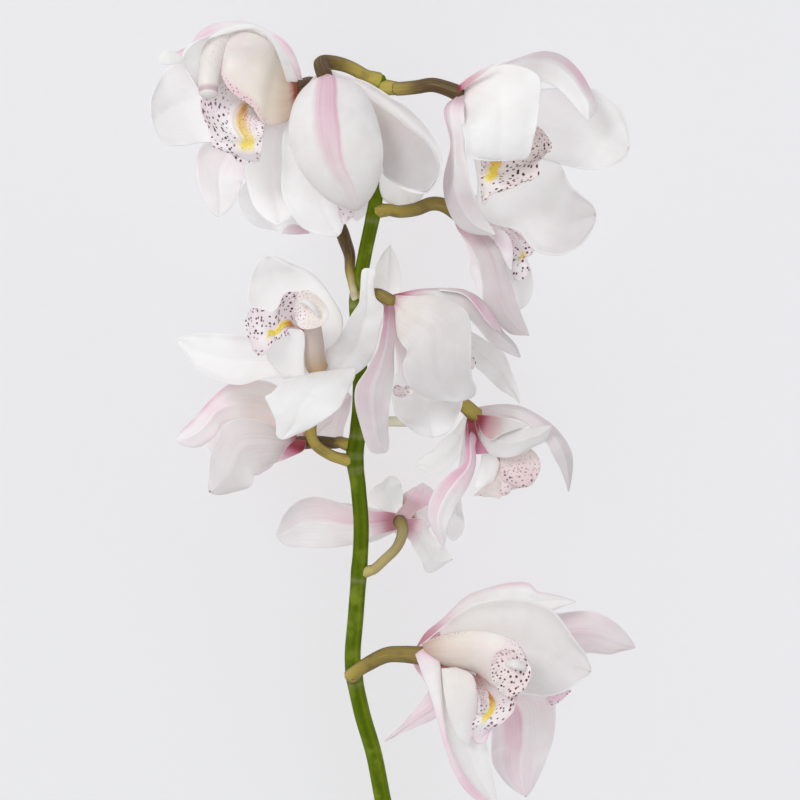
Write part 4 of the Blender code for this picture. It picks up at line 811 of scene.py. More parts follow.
def smooth_rows(rows):
    """A smooth curve through the rows, as close rows with the place of each along them."""
    rows = np.asarray(rows, dtype=float)
    padded = np.vstack((2 * rows[0] - rows[1], rows, 2 * rows[-1] - rows[-2]))
    close = []
    places = []
    for start in range(len(rows) - 1):
        before, first, second, after = padded[start:start + 4]
        last = start == len(rows) - 2
        for t in np.linspace(0.0, 1.0, DENSE_STEPS, endpoint=last):
            close.append(0.5 * (2 * first + (second - before) * t
                                + (2 * before - 5 * first + 4 * second - after) * t ** 2
                                + (3 * first - before - 3 * second + after) * t ** 3))
            places.append(start + t)
    return np.array(close), np.array(places)


def even_rows(rows, count, crowding=1.0):
    """Count rows along the smooth curve, closer together near its end if crowding is over 1."""
    close, places = smooth_rows(rows)
    along = distances(close[:, :3])
    wanted = along[-1] * (1.0 - (1.0 - np.linspace(0.0, 1.0, count)) ** crowding)
    picked = np.column_stack([np.interp(wanted, along, column) for column in close.T])
    tangents = np.gradient(close[:, :3], along, axis=0)
    tangents = np.column_stack([np.interp(wanted, along, column) for column in tangents.T])
    return picked, np.interp(wanted, along, places), tangents


def above_table(heights, half_thickness):
    """Heights, eased so that none comes under half a blade's thickness."""
    rise = heights - half_thickness
    eased = half_thickness + (rise + TABLE_BLEND) ** 2 / (4 * TABLE_BLEND)
    return np.where(rise > TABLE_BLEND, heights, np.where(rise < -TABLE_BLEND, half_thickness, eased))


def blade_relief(along, across, outer_up, width):
    """The keel along a blade's outer side, and the slow waves of its edges."""
    keel = BLADE_KEEL * outer_up * np.maximum(0.0, 1.0 - 2.0 * np.abs(across)) ** 1.5
    groove = 0.3 * outer_up * np.exp(-(across / 0.07) ** 2)
    wave = BLADE_WAVE * np.abs(across) ** 3 * np.sin(9.0 * along + 2.2 * np.sign(across))
    fine = 0.35 * np.abs(across) ** 5 * np.sin(27.0 * along + 1.1 * np.sign(across) + 0.1 * width)
    slow = np.sin(5.0 * along + 0.2 * width) * np.sin(4.0 * across + 7.0 * along) * (1.0 - along)
    return keel + groove + wave + fine + 0.5 * slow * np.abs(across)


def lip_relief(along, across, outer_up, width, middle=0.0):
    """The twin callus ridges along a lip's inner side, and its ruffled edges."""
    ridge = np.exp(-((np.abs(across - middle) - 0.09) / 0.05) ** 2)
    callus = -CALLUS_HEIGHT * outer_up * ridge * np.maximum(0.0, 1.0 - (3.2 * (along - 0.5)) ** 2)
    wave = LIP_WAVE * along * np.abs(across) ** 3 * np.sin(19.0 * along + 1.5 * across)
    fine = 0.7 * along * np.abs(across) ** 5 * np.sin(52.0 * along + 2.0 * across + 0.05 * width)
    return callus + wave + fine


def sheet_points(root, root_width, shape, steps, columns, relief, half_thickness, turns=(0.0, 0.0)):
    """The middle surface of a blade, as steps by columns by x, y and z, with each row's width."""
    rows = [(*row,) for row in shape["rows"]]
    full = [(*root, root_width, rows[0][4], 0.5 * rows[0][5])] + rows
    full.append((*shape["tip"], *rows[-1][3:]))
    picked, places, tangents = even_rows(full, steps + 1, 1.25)
    beyond = np.clip(places - (len(full) - 2), 0.0, 1.0)
    width = picked[:, 3] * np.maximum(1.0 - beyond ** 2, 0.0) ** shape["blunt"]
    forward = unit(tangents)
    flat_side = unit(np.cross((0.0, 0.0, 1.0), forward))
    flat_up = np.cross(forward, flat_side)
    turn = np.radians(picked[:, 4])[:, None]
    side = flat_side * np.cos(turn) + flat_up * np.sin(turn)
    up = flat_up * np.cos(turn) - flat_side * np.sin(turn)
    bend = np.radians(picked[:, 5])[:, None]
    bend = np.where(np.abs(bend) < 0.001, 0.001, bend)
    across = np.linspace(-1.0, 1.0, columns + 1)[None, :]
    along = np.linspace(0.0, 1.0, steps + 1)[:, None]
    radius = width[:, None] / bend
    angle = across * bend / 2
    sideways = radius * np.sin(angle)
    lift = radius * (1.0 - np.cos(angle))
    lift = lift + relief(along, across, shape["outer_up"], width[:, None]) \
        * np.minimum(width[:, None] / RELIEF_WIDTH, 1.0)
    fold = np.clip(along / 0.3, 0.0, 1.0) * shape["outer_up"] * np.minimum(width[:, None] / RELIEF_WIDTH, 1.0)
    turned = np.where(across > 0.0, turns[0], turns[1])
    lift = lift - fold * turned * np.maximum(np.abs(across) - 0.7, 0.0) ** 2 / 0.09
    points = picked[:, None, :3] + sideways[:, :, None] * side[:, None, :] + lift[:, :, None] * up[:, None, :]
    points[:, :, 2] = above_table(points[:, :, 2], half_thickness)
    return points, width


def along_outline(outline, shares):
    """Points of a smooth outline at shares of its length."""
    close, _ = smooth_rows(np.reshape(outline, (-1, 2)))
    lengths = distances(close)
    wanted = shares * lengths[-1]
    return np.column_stack([np.interp(wanted, lengths, column) for column in close.T])


def fit_outline(points, outline):
    """Slide a blade's points level, so that its edges follow the drawn outline."""
    left, right = outline
    steps, columns, _ = points.shape
    weight = np.linspace(0.0, 1.0, columns)[None, :, None]
    shift = np.zeros((steps, columns, 2))
    for column, share, edge in ((columns - 1, weight, left), (0, 1.0 - weight, right)):
        if edge is None:
            continue
        track = points[:, column, :2]
        lengths = distances(track)
        wanted = along_outline(edge, lengths / lengths[-1])
        shift = shift + share * (wanted - track)[:, None, :]
    fade = np.clip(np.linspace(0.0, 1.0, steps) / 0.12, 0.0, 1.0)[:, None, None]
    points[:, :, :2] += shift * fade
    return points


def uneven(points, seed, grain, amount):
    """Slight unevenness of a sheet: none at its foot, most along its edges."""
    noise.seed_set(NOISE_SEED)
    steps, columns, _ = points.shape
    edge = np.abs(np.linspace(-1.0, 1.0, columns))
    share = np.clip(np.linspace(0.0, 1.0, steps) / 0.2, 0.0, 1.0)
    for step in range(steps):
        for column in range(columns):
            push = noise.noise_vector(Vector(points[step, column]) * grain + Vector((seed, 0.7 * seed, 0.0)))
            weight = amount * share[step] * (0.3 + 0.7 * edge[column] ** 2)
            points[step, column] += weight * np.array((0.45 * push.x, 0.45 * push.y, push.z))
    return points


def drawn_sheet(drawn, steps, columns):
    """The points of a sheet between two drawn edges, raised along its middle."""
    along = np.linspace(0.0, 1.0, steps + 1)
    across = np.linspace(-1.0, 1.0, columns + 1)
    edges = []
    for edge, levels in (("left", drawn["heights"]), ("right", drawn.get("right_heights", drawn["heights"]))):
        heights = np.interp(along, np.linspace(0.0, 1.0, len(levels)), levels)
        edges.append(np.column_stack((along_outline(drawn[edge], along), heights)))
    left, right = edges
    share = ((across + 1.0) / 2.0)[None, :, None]
    points = right[:, None, :] * (1.0 - share) + left[:, None, :] * share
    width = np.minimum(np.linalg.norm(left - right, axis=1) / RELIEF_WIDTH, 1.0)[:, None]
    points[:, :, 2] += drawn["bulge"] * width * (1.0 - across ** 2)[None, :]
    ruffle = np.sin(30.0 * along[:, None] + 3.0 * across[None, :]) * np.abs(across)[None, :] ** 4
    points[:, :, 2] += drawn.get("ruffle", 0.0) * width * ruffle
    return points


def in_metres(points):
    """Drawing points in metres, in the part's own frame."""
    return (np.asarray(points, dtype=float) - np.array(DRAWING_ORIGIN)) * MM


def lay_grid(shape, points, layers=None, material=0, flip=False):
    """Add a grid to the bmesh over rows of points, with a value from each layer at each point."""
    steps, columns = points.shape[:2]
    made = bmesh.ops.create_grid(shape, x_segments=columns - 1, y_segments=steps - 1, size=0.5)
    uv = shape.loops.layers.uv.verify()
    places = in_metres(points)
    spots = {}
    for vertex in made["verts"]:
        column = round((vertex.co.x + 0.5) * (columns - 1))
        step = round((vertex.co.y + 0.5) * (steps - 1))
        spots[vertex] = (column / (columns - 1), step / (steps - 1))
        vertex.co = Vector(places[step, column])
        for name, values in (layers or {}).items():
            layer = shape.verts.layers.float[name]
            vertex[layer] = float(values[step, column])
    faces = {face for vertex in made["verts"] for face in vertex.link_faces}
    for face in faces:
        face.material_index = material
        face.smooth = True
        for loop in face.loops:
            loop[uv].uv = spots[loop.vert]
    if flip:
        bmesh.ops.reverse_faces(shape, faces=list(faces))
    return made["verts"]


def new_shape(*layers):
    """An empty bmesh with the named value layers."""
    shape = bmesh.new()
    for name in layers:
        shape.verts.layers.float.new(name)
    return shape


def finished_piece(shape, name, looks, nodes):
    """Turn the bmesh into a piece that rides on the part and stands for its CAD nodes."""
    bmesh.ops.remove_doubles(shape, verts=shape.verts, dist=MERGE_DISTANCE * MM)
    mesh = bpy.data.meshes.new(name)
    shape.to_mesh(mesh)
    shape.free()
    for look in looks:
        mesh.materials.append(look)
    piece = bpy.data.objects.new(name, mesh)
    bpy.context.scene.collection.objects.link(piece)
    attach(piece, "root")
    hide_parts(*nodes)
    return piece


def closed_piece(shape, name, look, node):
    """Finish a round piece, with its seams closed and its faces pointing outwards."""
    bmesh.ops.remove_doubles(shape, verts=shape.verts, dist=MERGE_DISTANCE * MM)
    bmesh.ops.recalc_face_normals(shape, faces=shape.faces)
    return finished_piece(shape, name, [look], [node])


def stem_at(height):
    """The stem's centre, radius and direction at a height on the drawing."""
    close, _ = smooth_rows(STEM_ROWS)
    index = int(np.argmin(np.abs(close[:, 1] - height)))
    index = min(max(index, 1), len(close) - 2)
    return close[index, :3], close[index, 3], unit(close[index + 1, :3] - close[index - 1, :3])


def tube_points(rows, rings, sides, ridges=0.0, rib_count=5):
    """Rings of points round a smooth line of x, y, z and radius, closed to a point at both ends."""
    picked, _, tangents = even_rows(rows, rings)
    side = np.array((1.0, 0.0, 0.0))
    if abs(unit(tangents[0])[0]) > 0.8:
        side = np.array((0.0, 1.0, 0.0))
    turn = np.linspace(0.0, 2 * math.pi, sides + 1)
    result = []
    for row, tangent in zip(picked, tangents):
        forward = unit(tangent)
        side = unit(side - forward * np.dot(side, forward))
        up = np.cross(forward, side)
        reach = row[3] * (1.0 + ridges * np.cos(rib_count * turn))
        result.append(row[:3] + reach[:, None] * (np.cos(turn)[:, None] * side + np.sin(turn)[:, None] * up))
    return np.array(result)


def rounded_ends(points, start=0.0, end=0.0, cap_rings=6):
    """Close both ends of a tube: a dome as long as the given share of the radius, or flat at 0."""
    rings = list(points)
    for last, length, order in ((points[-1], end, 1), (points[0], start, -1)):
        centre = last[:-1].mean(axis=0)
        inner = points[-2] if order == 1 else points[1]
        way = unit(centre - inner[:-1].mean(axis=0))
        radius = np.linalg.norm(last[0] - centre)
        domes = []
        for ring in range(1, cap_rings + 1):
            angle = ring / cap_rings * math.pi / 2
            shrink = math.cos(angle) if ring < cap_rings else 0.0
            domes.append(centre + (last - centre) * shrink + way * (length * radius * math.sin(angle)))
        rings = rings + domes if order == 1 else domes[::-1] + rings
    return np.array(rings)


def node_tree(look):
    """The look's tree with its Principled BSDF."""
    look.use_nodes = True
    return look.node_tree, look.node_tree.nodes["Principled BSDF"]


def filled(tree, made, inputs):
    """Give a node's inputs their links and values."""
    for name, value in inputs.items():
        if isinstance(value, bpy.types.NodeSocket):
            tree.links.new(value, made.inputs[name])
        else:
            made.inputs[name].default_value = value
    return made


def put(tree, kind, **settings):
    """A new node: what inputs holds goes to its inputs, and other settings go on the node."""
    made = tree.nodes.new("ShaderNode" + kind)
    inputs = settings.pop("inputs", {})
    for name, value in settings.items():
        setattr(made, name, value)
    return filled(tree, made, inputs)


def reckon(tree, operation, first, second=0.0, third=0.0, clamp=False):
    """A Math node's value."""
    return put(tree, "Math", operation=operation, use_clamp=clamp,
               inputs={0: first, 1: second, 2: third}).outputs[0]


def times(tree, first, second, clamp=False):
    """The product of two values."""
    return reckon(tree, "MULTIPLY", first, second, clamp=clamp)


def scaled(tree, value, factor, shift, clamp=False):
    """A value times a factor, shifted."""
    return reckon(tree, "MULTIPLY_ADD", value, factor, shift, clamp)


def ramp_between(tree, value, low, high, to_low=0.0, to_high=1.0):
    """The value taken smoothly from one range to another."""
    return put(tree, "MapRange", interpolation_type="SMOOTHSTEP",
               inputs={"Value": value, "From Min": low, "From Max": high,
                       "To Min": to_low, "To Max": to_high}).outputs[0]


def mixed(tree, share, first, second, blend="MIX"):
    """Two colours mixed; a plain colour gets full alpha."""
    first, second = (colour if isinstance(colour, bpy.types.NodeSocket) else (*colour, 1.0)
                     for colour in (first, second))
    made = put(tree, "Mix", data_type="RGBA", blend_type=blend, inputs={0: share, 6: first, 7: second})
    return made.outputs[2]


def layer_value(tree, name):
    """A value layer of the mesh."""
    return put(tree, "Attribute", attribute_name=name).outputs["Fac"]


def new_group(name, inputs, outputs):
    """An empty shader node group with named inputs and outputs."""
    group = bpy.data.node_groups.new(name, "ShaderNodeTree")
    for title, kind, default in inputs:
        socket = group.interface.new_socket(name=title, in_out="INPUT", socket_type=kind)
        socket.default_value = default
    for title, kind in outputs:
        group.interface.new_socket(name=title, in_out="OUTPUT", socket_type=kind)
    return group, group.nodes.new("NodeGroupInput"), group.nodes.new("NodeGroupOutput")


def blade_lines_group():
    """Lines that run along a blade: fine veins and broad streaks, from its own UV map."""
    group, given, result = new_group(
        "blade_lines", (("Veins", "NodeSocketFloat", 60.0), ("Streaks", "NodeSocketFloat", 9.0)),
        (("Veins", "NodeSocketFloat"), ("Streaks", "NodeSocketFloat")))
    place = put(group, "SeparateXYZ", inputs={0: put(group, "UVMap").outputs[0]})
    seed = layer_value(group, "seed")
    for title, stretch, roughness in (("Veins", 2.2, 0.55), ("Streaks", 1.3, 0.5)):
        across = times(group, place.outputs[0], given.outputs[title])
        along = times(group, place.outputs[1], stretch)
        vector = put(group, "CombineXYZ", inputs={0: across, 1: along, 2: seed}).outputs[0]
        lines = put(group, "TexNoise", inputs={"Vector": vector, "Scale": 1.0, "Detail": 3.0,
                                               "Roughness": roughness})
        group.links.new(lines.outputs["Fac"], result.inputs[title])
    return group


def spots_group():
    """Round spots of uneven size."""
    group, given, result = new_group(
        "spots", (("Place", "NodeSocketVector", (0.0, 0.0, 0.0)), ("Spacing", "NodeSocketFloat", 430.0),
                  ("Size", "NodeSocketFloat", 0.3)), (("Spots", "NodeSocketFloat"),))
    place = given.outputs["Place"]
    stir = put(group, "TexNoise", inputs={"Vector": place, "Scale": 900.0, "Detail": 1.0})
    push = put(group, "VectorMath", operation="SCALE", inputs={0: stir.outputs["Color"], "Scale": 0.0003})
    moved = put(group, "VectorMath", operation="ADD", inputs={0: place, 1: push.outputs[0]})
    cells = put(group, "TexVoronoi", voronoi_dimensions="2D",
                inputs={"Vector": moved.outputs[0], "Scale": given.outputs["Spacing"], "Randomness": 0.85})
    chance = put(group, "SeparateColor", inputs={0: cells.outputs["Color"]}).outputs[0]
    reach = scaled(group, chance, 0.12, given.outputs["Size"])
    gap = reckon(group, "SUBTRACT", reach, cells.outputs["Distance"])
    group.links.new(ramp_between(group, gap, -0.05, 0.06), result.inputs[0])
    return group


def waxy_group():
    """Tiny pits and a slow unevenness of a waxy plant skin."""
    group, given, result = new_group(
        "waxy_skin", (("Pits", "NodeSocketFloat", 2600.0),),
        (("Height", "NodeSocketFloat"), ("Mottle", "NodeSocketFloat"), ("Cloud", "NodeSocketFloat")))
    place = put(group, "TexCoord").outputs["Object"]
    pits = put(group, "TexNoise", inputs={"Vector": place, "Scale": given.outputs["Pits"], "Detail": 2.0})
    slow = put(group, "TexNoise", inputs={"Vector": place, "Scale": 110.0, "Detail": 3.0})
    cloud = put(group, "TexNoise", inputs={"Vector": place, "Scale": 45.0, "Detail": 2.0})
    group.links.new(pits.outputs["Fac"], result.inputs["Height"])
    group.links.new(slow.outputs["Fac"], result.inputs["Mottle"])
    group.links.new(cloud.outputs["Fac"], result.inputs["Cloud"])
    return group


def group_node(tree, group, **inputs):
    """A copy of a node group in a tree."""
    made = tree.nodes.new("ShaderNodeGroup")
    made.node_tree = group
    return filled(tree, made, inputs)


def soft_tissue(shader, weight, depth):
    """Let light soak into the skin."""
    shader.inputs["Subsurface Weight"].default_value = weight
    shader.inputs["Subsurface Radius"].default_value = (1.0, 0.92, 0.9)
    shader.inputs["Subsurface Scale"].default_value = depth


def finished_skin(look, colour, wax, lines, rough, relief, soft):
    """Give a skin its colour, then its roughness as spread and least, its relief as the share of pits,
    strength and depth, and its softness as weight and depth."""
    tree, shader = node_tree(look)
    tree.links.new(colour, shader.inputs["Base Color"])
    spread, least = rough
    tree.links.new(scaled(tree, wax.outputs["Mottle"], spread, least), shader.inputs["Roughness"])
    pits, strength, depth = relief
    height = wax.outputs["Height"]
    if lines:
        height = scaled(tree, height, pits, lines.outputs["Veins"])
    bump = put(tree, "Bump", inputs={"Height": height, "Strength": strength, "Distance": depth})
    tree.links.new(bump.outputs[0], shader.inputs["Normal"])
    soft_tissue(shader, *soft)
    return look


def petal_look(name, groups, given, strength):
    """Waxy white petal skin with a pink stripe, flush, foot and edge where the layers ask, with painted light
    and shade on each petal and a painted glow along its thin edges.
    """
    look = bpy.data.materials.new(name)
    tree, shader = node_tree(look)
    lines = group_node(tree, groups["lines"])
    wax = group_node(tree, groups["wax"])
    place = put(tree, "SeparateXYZ", inputs={0: put(tree, "UVMap").outputs[0]})
    across = scaled(tree, place.outputs[0], 2.0, -1.0)
    edge = reckon(tree, "ABSOLUTE", across)
    along = place.outputs[1]
    streak = ramp_between(tree, lines.outputs["Streaks"], 0.3, 0.7)
    veins = ramp_between(tree, lines.outputs["Veins"], 0.42, 0.72)
    pale = mixed(tree, ramp_between(tree, wax.outputs["Mottle"], 0.3, 0.7), given.petal_colour,
                 given.petal_shade)
    cloud = ramp_between(tree, wax.outputs["Cloud"], 0.35, 0.65, 0.25, 1.3)
    flush = times(tree, layer_value(tree, "flush"),
                   times(tree, cloud, scaled(tree, streak, 0.4, 0.7)))
    flush = times(tree, flush, strength, clamp=True)
    colour = mixed(tree, flush, pale, given.flush_colour)
    rim = times(tree, layer_value(tree, "rim"), ramp_between(tree, edge, 0.5, 1.0))
    rim = times(tree, rim, times(tree, cloud, 0.8), clamp=True)
    colour = mixed(tree, rim, colour, given.stripe_colour)
    wobble = scaled(tree, wax.outputs["Cloud"], 0.2, -0.1)
    beside = reckon(tree, "SUBTRACT", reckon(tree, "ADD", across, wobble), layer_value(tree, "middle"))
    beside = reckon(tree, "DIVIDE", beside, layer_value(tree, "band"))
    soft = ramp_between(tree, reckon(tree, "ABSOLUTE", beside), 1.15, 0.35, 0.0, 0.62)
    line = reckon(tree, "ABSOLUTE", reckon(tree, "ADD", beside, -0.7))
    line = ramp_between(tree, line, 0.25, 0.0, 0.0, 0.4)
    stripe = reckon(tree, "ADD", soft, line)
    stripe = times(tree, stripe, ramp_between(tree, along, 1.0, 0.25, 0.12, 1.0))
    stripe = times(tree, stripe, layer_value(tree, "stripe"))
    stripe = times(tree, stripe, scaled(tree, veins, 0.2, 0.75), clamp=True)
    colour = mixed(tree, stripe, colour, given.stripe_colour)
    reach = scaled(tree, veins, -0.025, along)
    reach = reckon(tree, "DIVIDE", reach, layer_value(tree, "depth"))
    blush = times(tree, layer_value(tree, "deep"), ramp_between(tree, reach, 0.24, 0.02, 0.0, 0.7))
    colour = mixed(tree, blush, colour, given.stripe_colour)
    foot = times(tree, layer_value(tree, "deep"), ramp_between(tree, reach, 0.11, 0.03, 0.0, 0.85))
    colour = mixed(tree, foot, colour, given.foot_colour)
    vein = times(tree, veins, layer_value(tree, "veins"))
    colour = mixed(tree, vein, colour, given.stripe_colour)
    warm = times(tree, layer_value(tree, "warm"), ramp_between(tree, along, 0.85, 0.1, 0.1, 0.9))
    colour = mixed(tree, warm, colour, given.warm_colour, "MULTIPLY")
    # Painted light and shade: tone lightens a petal toward painted_light_colour over 0 and darkens it toward
    # painted_shade_colour under 0.
    tone = layer_value(tree, "tone")
    colour = mixed(tree, times(tree, tone, 1.0, clamp=True), colour, given.painted_light_colour)
    colour = mixed(tree, times(tree, tone, -1.0, clamp=True), colour, given.painted_shade_colour,
                   "MULTIPLY")
    # Painted glow: the thin edges turn paler, like light shining through them.
    colour = mixed(tree, ramp_between(tree, edge, 0.9, 1.0, 0.0, 0.4), colour, given.painted_edge_glow_colour)
    dot = times(tree, layer_value(tree, "dot"), ramp_between(tree, along, 0.97, 0.99))
    dot = times(tree, dot, ramp_between(tree, edge, 0.45, 0.1))
    colour = mixed(tree, dot, colour, given.dot_colour)
    shader.inputs["Specular IOR Level"].default_value = 0.3
    return finished_skin(look, colour, wax, lines, (0.16, 0.4), (0.25, 0.4, 0.00018), (0.35, 0.003))


def lip_look(name, groups, given, face):
    """Pinkish white lip skin; its inner face has a yellow callus, a dark throat and strong spots."""
    look = bpy.data.materials.new(name)
    tree, shader = node_tree(look)
    lines = group_node(tree, groups["lines"], Veins=40.0)
    wax = group_node(tree, groups["wax"])
    flat = put(tree, "CombineXYZ", inputs={0: layer_value(tree, "wide"), 1: layer_value(tree, "long")})
    flat = flat.outputs[0]
    marks = group_node(tree, groups["spots"], Place=flat, Spacing=1000.0 / given.spot_spacing,
                       Size=given.spot_size)
    specks = group_node(tree, groups["spots"], Place=flat, Spacing=1350.0 / given.spot_spacing,
                        Size=0.65 * given.spot_size)
    colour = mixed(tree, ramp_between(tree, wax.outputs["Mottle"], 0.35, 0.65), given.lip_colour,
                   given.lip_shade)
    colour = mixed(tree, layer_value(tree, "warm"), colour, given.warm_colour)
    flush = times(tree, layer_value(tree, "pink"),
                   scaled(tree, lines.outputs["Streaks"], 1.0, 0.4), clamp=True)
    colour = mixed(tree, flush, colour, given.lip_flush)
    # throat gives the dark throat, and on h's outer lip sheet it is painted shade.
    throat = times(tree, layer_value(tree, "throat"),
                    scaled(tree, lines.outputs["Streaks"], 0.8, 0.5), clamp=True)
    colour = mixed(tree, throat, colour, given.throat_and_shade_colour)
    if face:
        ragged = scaled(tree, lines.outputs["Veins"], 0.9, layer_value(tree, "callus"))
        ridge = ramp_between(tree, ragged, 0.6, 1.1)
        yellow = mixed(tree, ramp_between(tree, ragged, 0.85, 1.3), given.callus_pale,
                       given.callus_colour)
        orange = scaled(tree, specks.outputs[0], 0.7, layer_value(tree, "orange"), clamp=True)
        yellow = mixed(tree, orange, yellow, given.callus_foot)
        colour = mixed(tree, ridge, colour, yellow)
    share = times(tree, specks.outputs[0], layer_value(tree, "specks"))
    colour = mixed(tree, share, colour, given.speck_and_ring_shade_colour)
    share = times(tree, marks.outputs[0], layer_value(tree, "spots"))
    if not face:
        share = times(tree, share, 0.75)
    colour = mixed(tree, share, colour, given.spot_colour)
    shader.inputs["Specular IOR Level"].default_value = 0.35
    return finished_skin(look, colour, wax, lines, (0.16, 0.38), (0.3, 0.5, 0.0003), (0.3, 0.003))


def column_look(groups, given):
    """Column skin: pale cream above, flushed and finely spotted below its cap, with a painted shade ring just
    under the cap and painted shade over an open bloom's column.
    """
    look = bpy.data.materials.new("column_skin")
    tree, shader = node_tree(look)
    wax = group_node(tree, groups["wax"])
    marks = group_node(tree, groups["spots"], Place=put(tree, "UVMap").outputs[0], Spacing=22.0, Size=0.1)
    along = put(tree, "SeparateXYZ", inputs={0: put(tree, "UVMap").outputs[0]}).outputs[1]
    colour = mixed(tree, ramp_between(tree, along, 0.12, 0.5), given.column_foot,
                   given.column_colour)
    # Painted shade: the shade layer darkens an open bloom's column toward column_painted_shade.
    colour = mixed(tree, layer_value(tree, "shade"), colour, given.column_painted_shade)
    spots = times(tree, marks.outputs[0], ramp_between(tree, along, 0.9, 0.5, 0.0, 0.25))
    spots = times(tree, spots, layer_value(tree, "specks"))
    colour = mixed(tree, spots, colour, given.speck_and_ring_shade_colour)
    # Painted shade: a dark ring in the crease just under the cap.
    rim = times(tree, ramp_between(tree, along, 0.8, 0.83), ramp_between(tree, along, 0.87, 0.84, 0.0, 0.45))
    colour = mixed(tree, rim, colour, given.speck_and_ring_shade_colour)
    colour = mixed(tree, ramp_between(tree, along, 0.85, 0.88), colour, given.cap_colour)
    return finished_skin(look, colour, wax, None, (0.15, 0.35), (0.0, 0.4, 0.0003), (0.25, 0.002))


def stem_look(groups, given):
    """Glossy green stem, darker in slow patches, pale at each joint."""
    look = bpy.data.materials.new("stem_skin")
    tree, shader = node_tree(look)
    lines = group_node(tree, groups["lines"], Veins=24.0, Streaks=7.0)
    wax = group_node(tree, groups["wax"], Pits=1500.0)
    colour = mixed(tree, ramp_between(tree, lines.outputs["Streaks"], 0.35, 0.65),
                   given.stem_colour, given.stem_shade)
    colour = mixed(tree, ramp_between(tree, wax.outputs["Mottle"], 0.45, 0.75, 0.0, 0.35), colour,
                   given.stem_pale)
    colour = mixed(tree, layer_value(tree, "joint"), colour, given.joint_colour)
    colour = mixed(tree, layer_value(tree, "cut"), colour, given.cut_colour)
    shader.inputs["Specular IOR Level"].default_value = 0.06
    return finished_skin(look, colour, wax, lines, (0.2, 0.4), (0.4, 0.5, 0.0004), (0.1, 0.002))


def stalk_look(groups, given):
    """Flower stalk skin: olive at the stem, turning brown toward the bloom, with painted shade along the
    edges that turn away from view.
    """
    look = bpy.data.materials.new("stalk_skin")
    tree, shader = node_tree(look)
    lines = group_node(tree, groups["lines"], Veins=20.0, Streaks=6.0)
    wax = group_node(tree, groups["wax"], Pits=1500.0)
    along = put(tree, "SeparateXYZ", inputs={0: put(tree, "UVMap").outputs[0]}).outputs[1]
    place = scaled(tree, lines.outputs["Streaks"], 0.3, reckon(tree, "ADD", along, -0.15))
    brown = times(tree, ramp_between(tree, place, 0.1, 0.55), layer_value(tree, "brown"))
    colour = mixed(tree, ramp_between(tree, place, 0.0, 0.2), given.stalk_foot,
                   given.stalk_colour)
    colour = mixed(tree, brown, colour, given.stalk_brown_and_edge_shade)
    pale = times(tree, ramp_between(tree, along, 0.75, 0.6), layer_value(tree, "pale"))
    patches = ramp_between(tree, wax.outputs["Mottle"], 0.5, 0.7, 0.0, 0.45)
    colour = mixed(tree, patches, colour, given.stalk_brown_and_edge_shade)
    colour = mixed(tree, ramp_between(tree, lines.outputs["Veins"], 0.5, 0.8, 0.0, 0.4), colour,
                   given.stalk_pale)
    # Painted shade: darker where the stalk's skin turns away from view, along its seen edges.
    turned = put(tree, "LayerWeight", inputs={0: 0.5}).outputs["Facing"]
    colour = mixed(tree, ramp_between(tree, turned, 0.3, 0.95, 0.0, 0.75), colour, given.stalk_brown_and_edge_shade)
    colour = mixed(tree, pale, colour, given.stalk_cream)
    shader.inputs["Specular IOR Level"].default_value = 0.2
    return finished_skin(look, colour, wax, lines, (0.2, 0.38), (0.4, 0.5, 0.0004), (0.1, 0.002))


def floor_look(given):
    """Plain pale floor."""
    look = bpy.data.materials.new("floor_paper")
    tree, shader = node_tree(look)
    place = put(tree, "TexCoord").outputs["Object"]
    grain = put(tree, "TexNoise", inputs={"Vector": place, "Scale": 3.0, "Detail": 2.0})
    colour = mixed(tree, ramp_between(tree, grain.outputs["Fac"], 0.3, 0.7, 0.0, 0.3),
                   given.floor_colour, [0.985 * value for value in given.floor_colour])
    tree.links.new(colour, shader.inputs["Base Color"])
    shader.inputs["Roughness"].default_value = 0.9
    shader.inputs["Specular IOR Level"].default_value = 0.1
    return look


def shared_groups():
    """The node groups that the looks share."""
    found = bpy.data.node_groups.get
    return {"lines": found("blade_lines") or blade_lines_group(),
            "spots": found("spots") or spots_group(),
            "wax": found("waxy_skin") or waxy_group()}


PETAL_LAYERS = ("seed", *PLAIN)
LIP_LAYERS = ("seed", "spots", "specks", "callus", "orange", "throat", "pink", "warm")


def set_thinness(shape, verts, thin):
    """Give the points of a sheet their share of its thickness."""
    deform = shape.verts.layers.deform.verify()
    for vertex, value in zip(verts, thin.reshape(-1)):
        vertex[deform][0] = float(value)


def add_petal(shape, points, tints, seed, outer_up):
    """Lay one petal's grid with its colour layers and its edges' thinness."""
    steps, columns = points.shape[:2]
    across = np.linspace(-1.0, 1.0, columns)[None, :] * np.ones((steps, 1))
    along = np.linspace(0.0, 1.0, steps)[:, None] * np.ones((1, columns))
    layers = {}
    for title, value in (PLAIN | tints).items():
        layers[title] = profile(value, along)
    layers["seed"] = np.full_like(across, seed)
    verts = lay_grid(shape, points, layers, flip=outer_up > 0)
    thin = np.minimum(1.0 - EDGE_THINNING * np.abs(across) ** 3, 1.0 - 0.5 * along ** 6)
    set_thinness(shape, verts, thin)


def blade_points(bloom, name, index, half_thickness):
    """The points of one sepal or petal of a bloom."""
    drawn = bloom["blades"][index]
    base = np.array(bloom["base"], dtype=float)
    way = unit(np.array(drawn["rows"][0][:3], dtype=float) - base)
    root = base + way * (BLADE_ROOT_START + BLADE_ROOT_STEP * index)
    turns = TURNS.get(name, {}).get(index, (0.0, 0.0))
    points, _ = sheet_points(root, BLADE_ROOT_WIDTH, drawn, BLADE_STEPS, BLADE_COLUMNS, blade_relief,
                             half_thickness, turns)
    outline = OUTLINES.get(name, {}).get(index)
    return fit_outline(points, outline) if outline else points


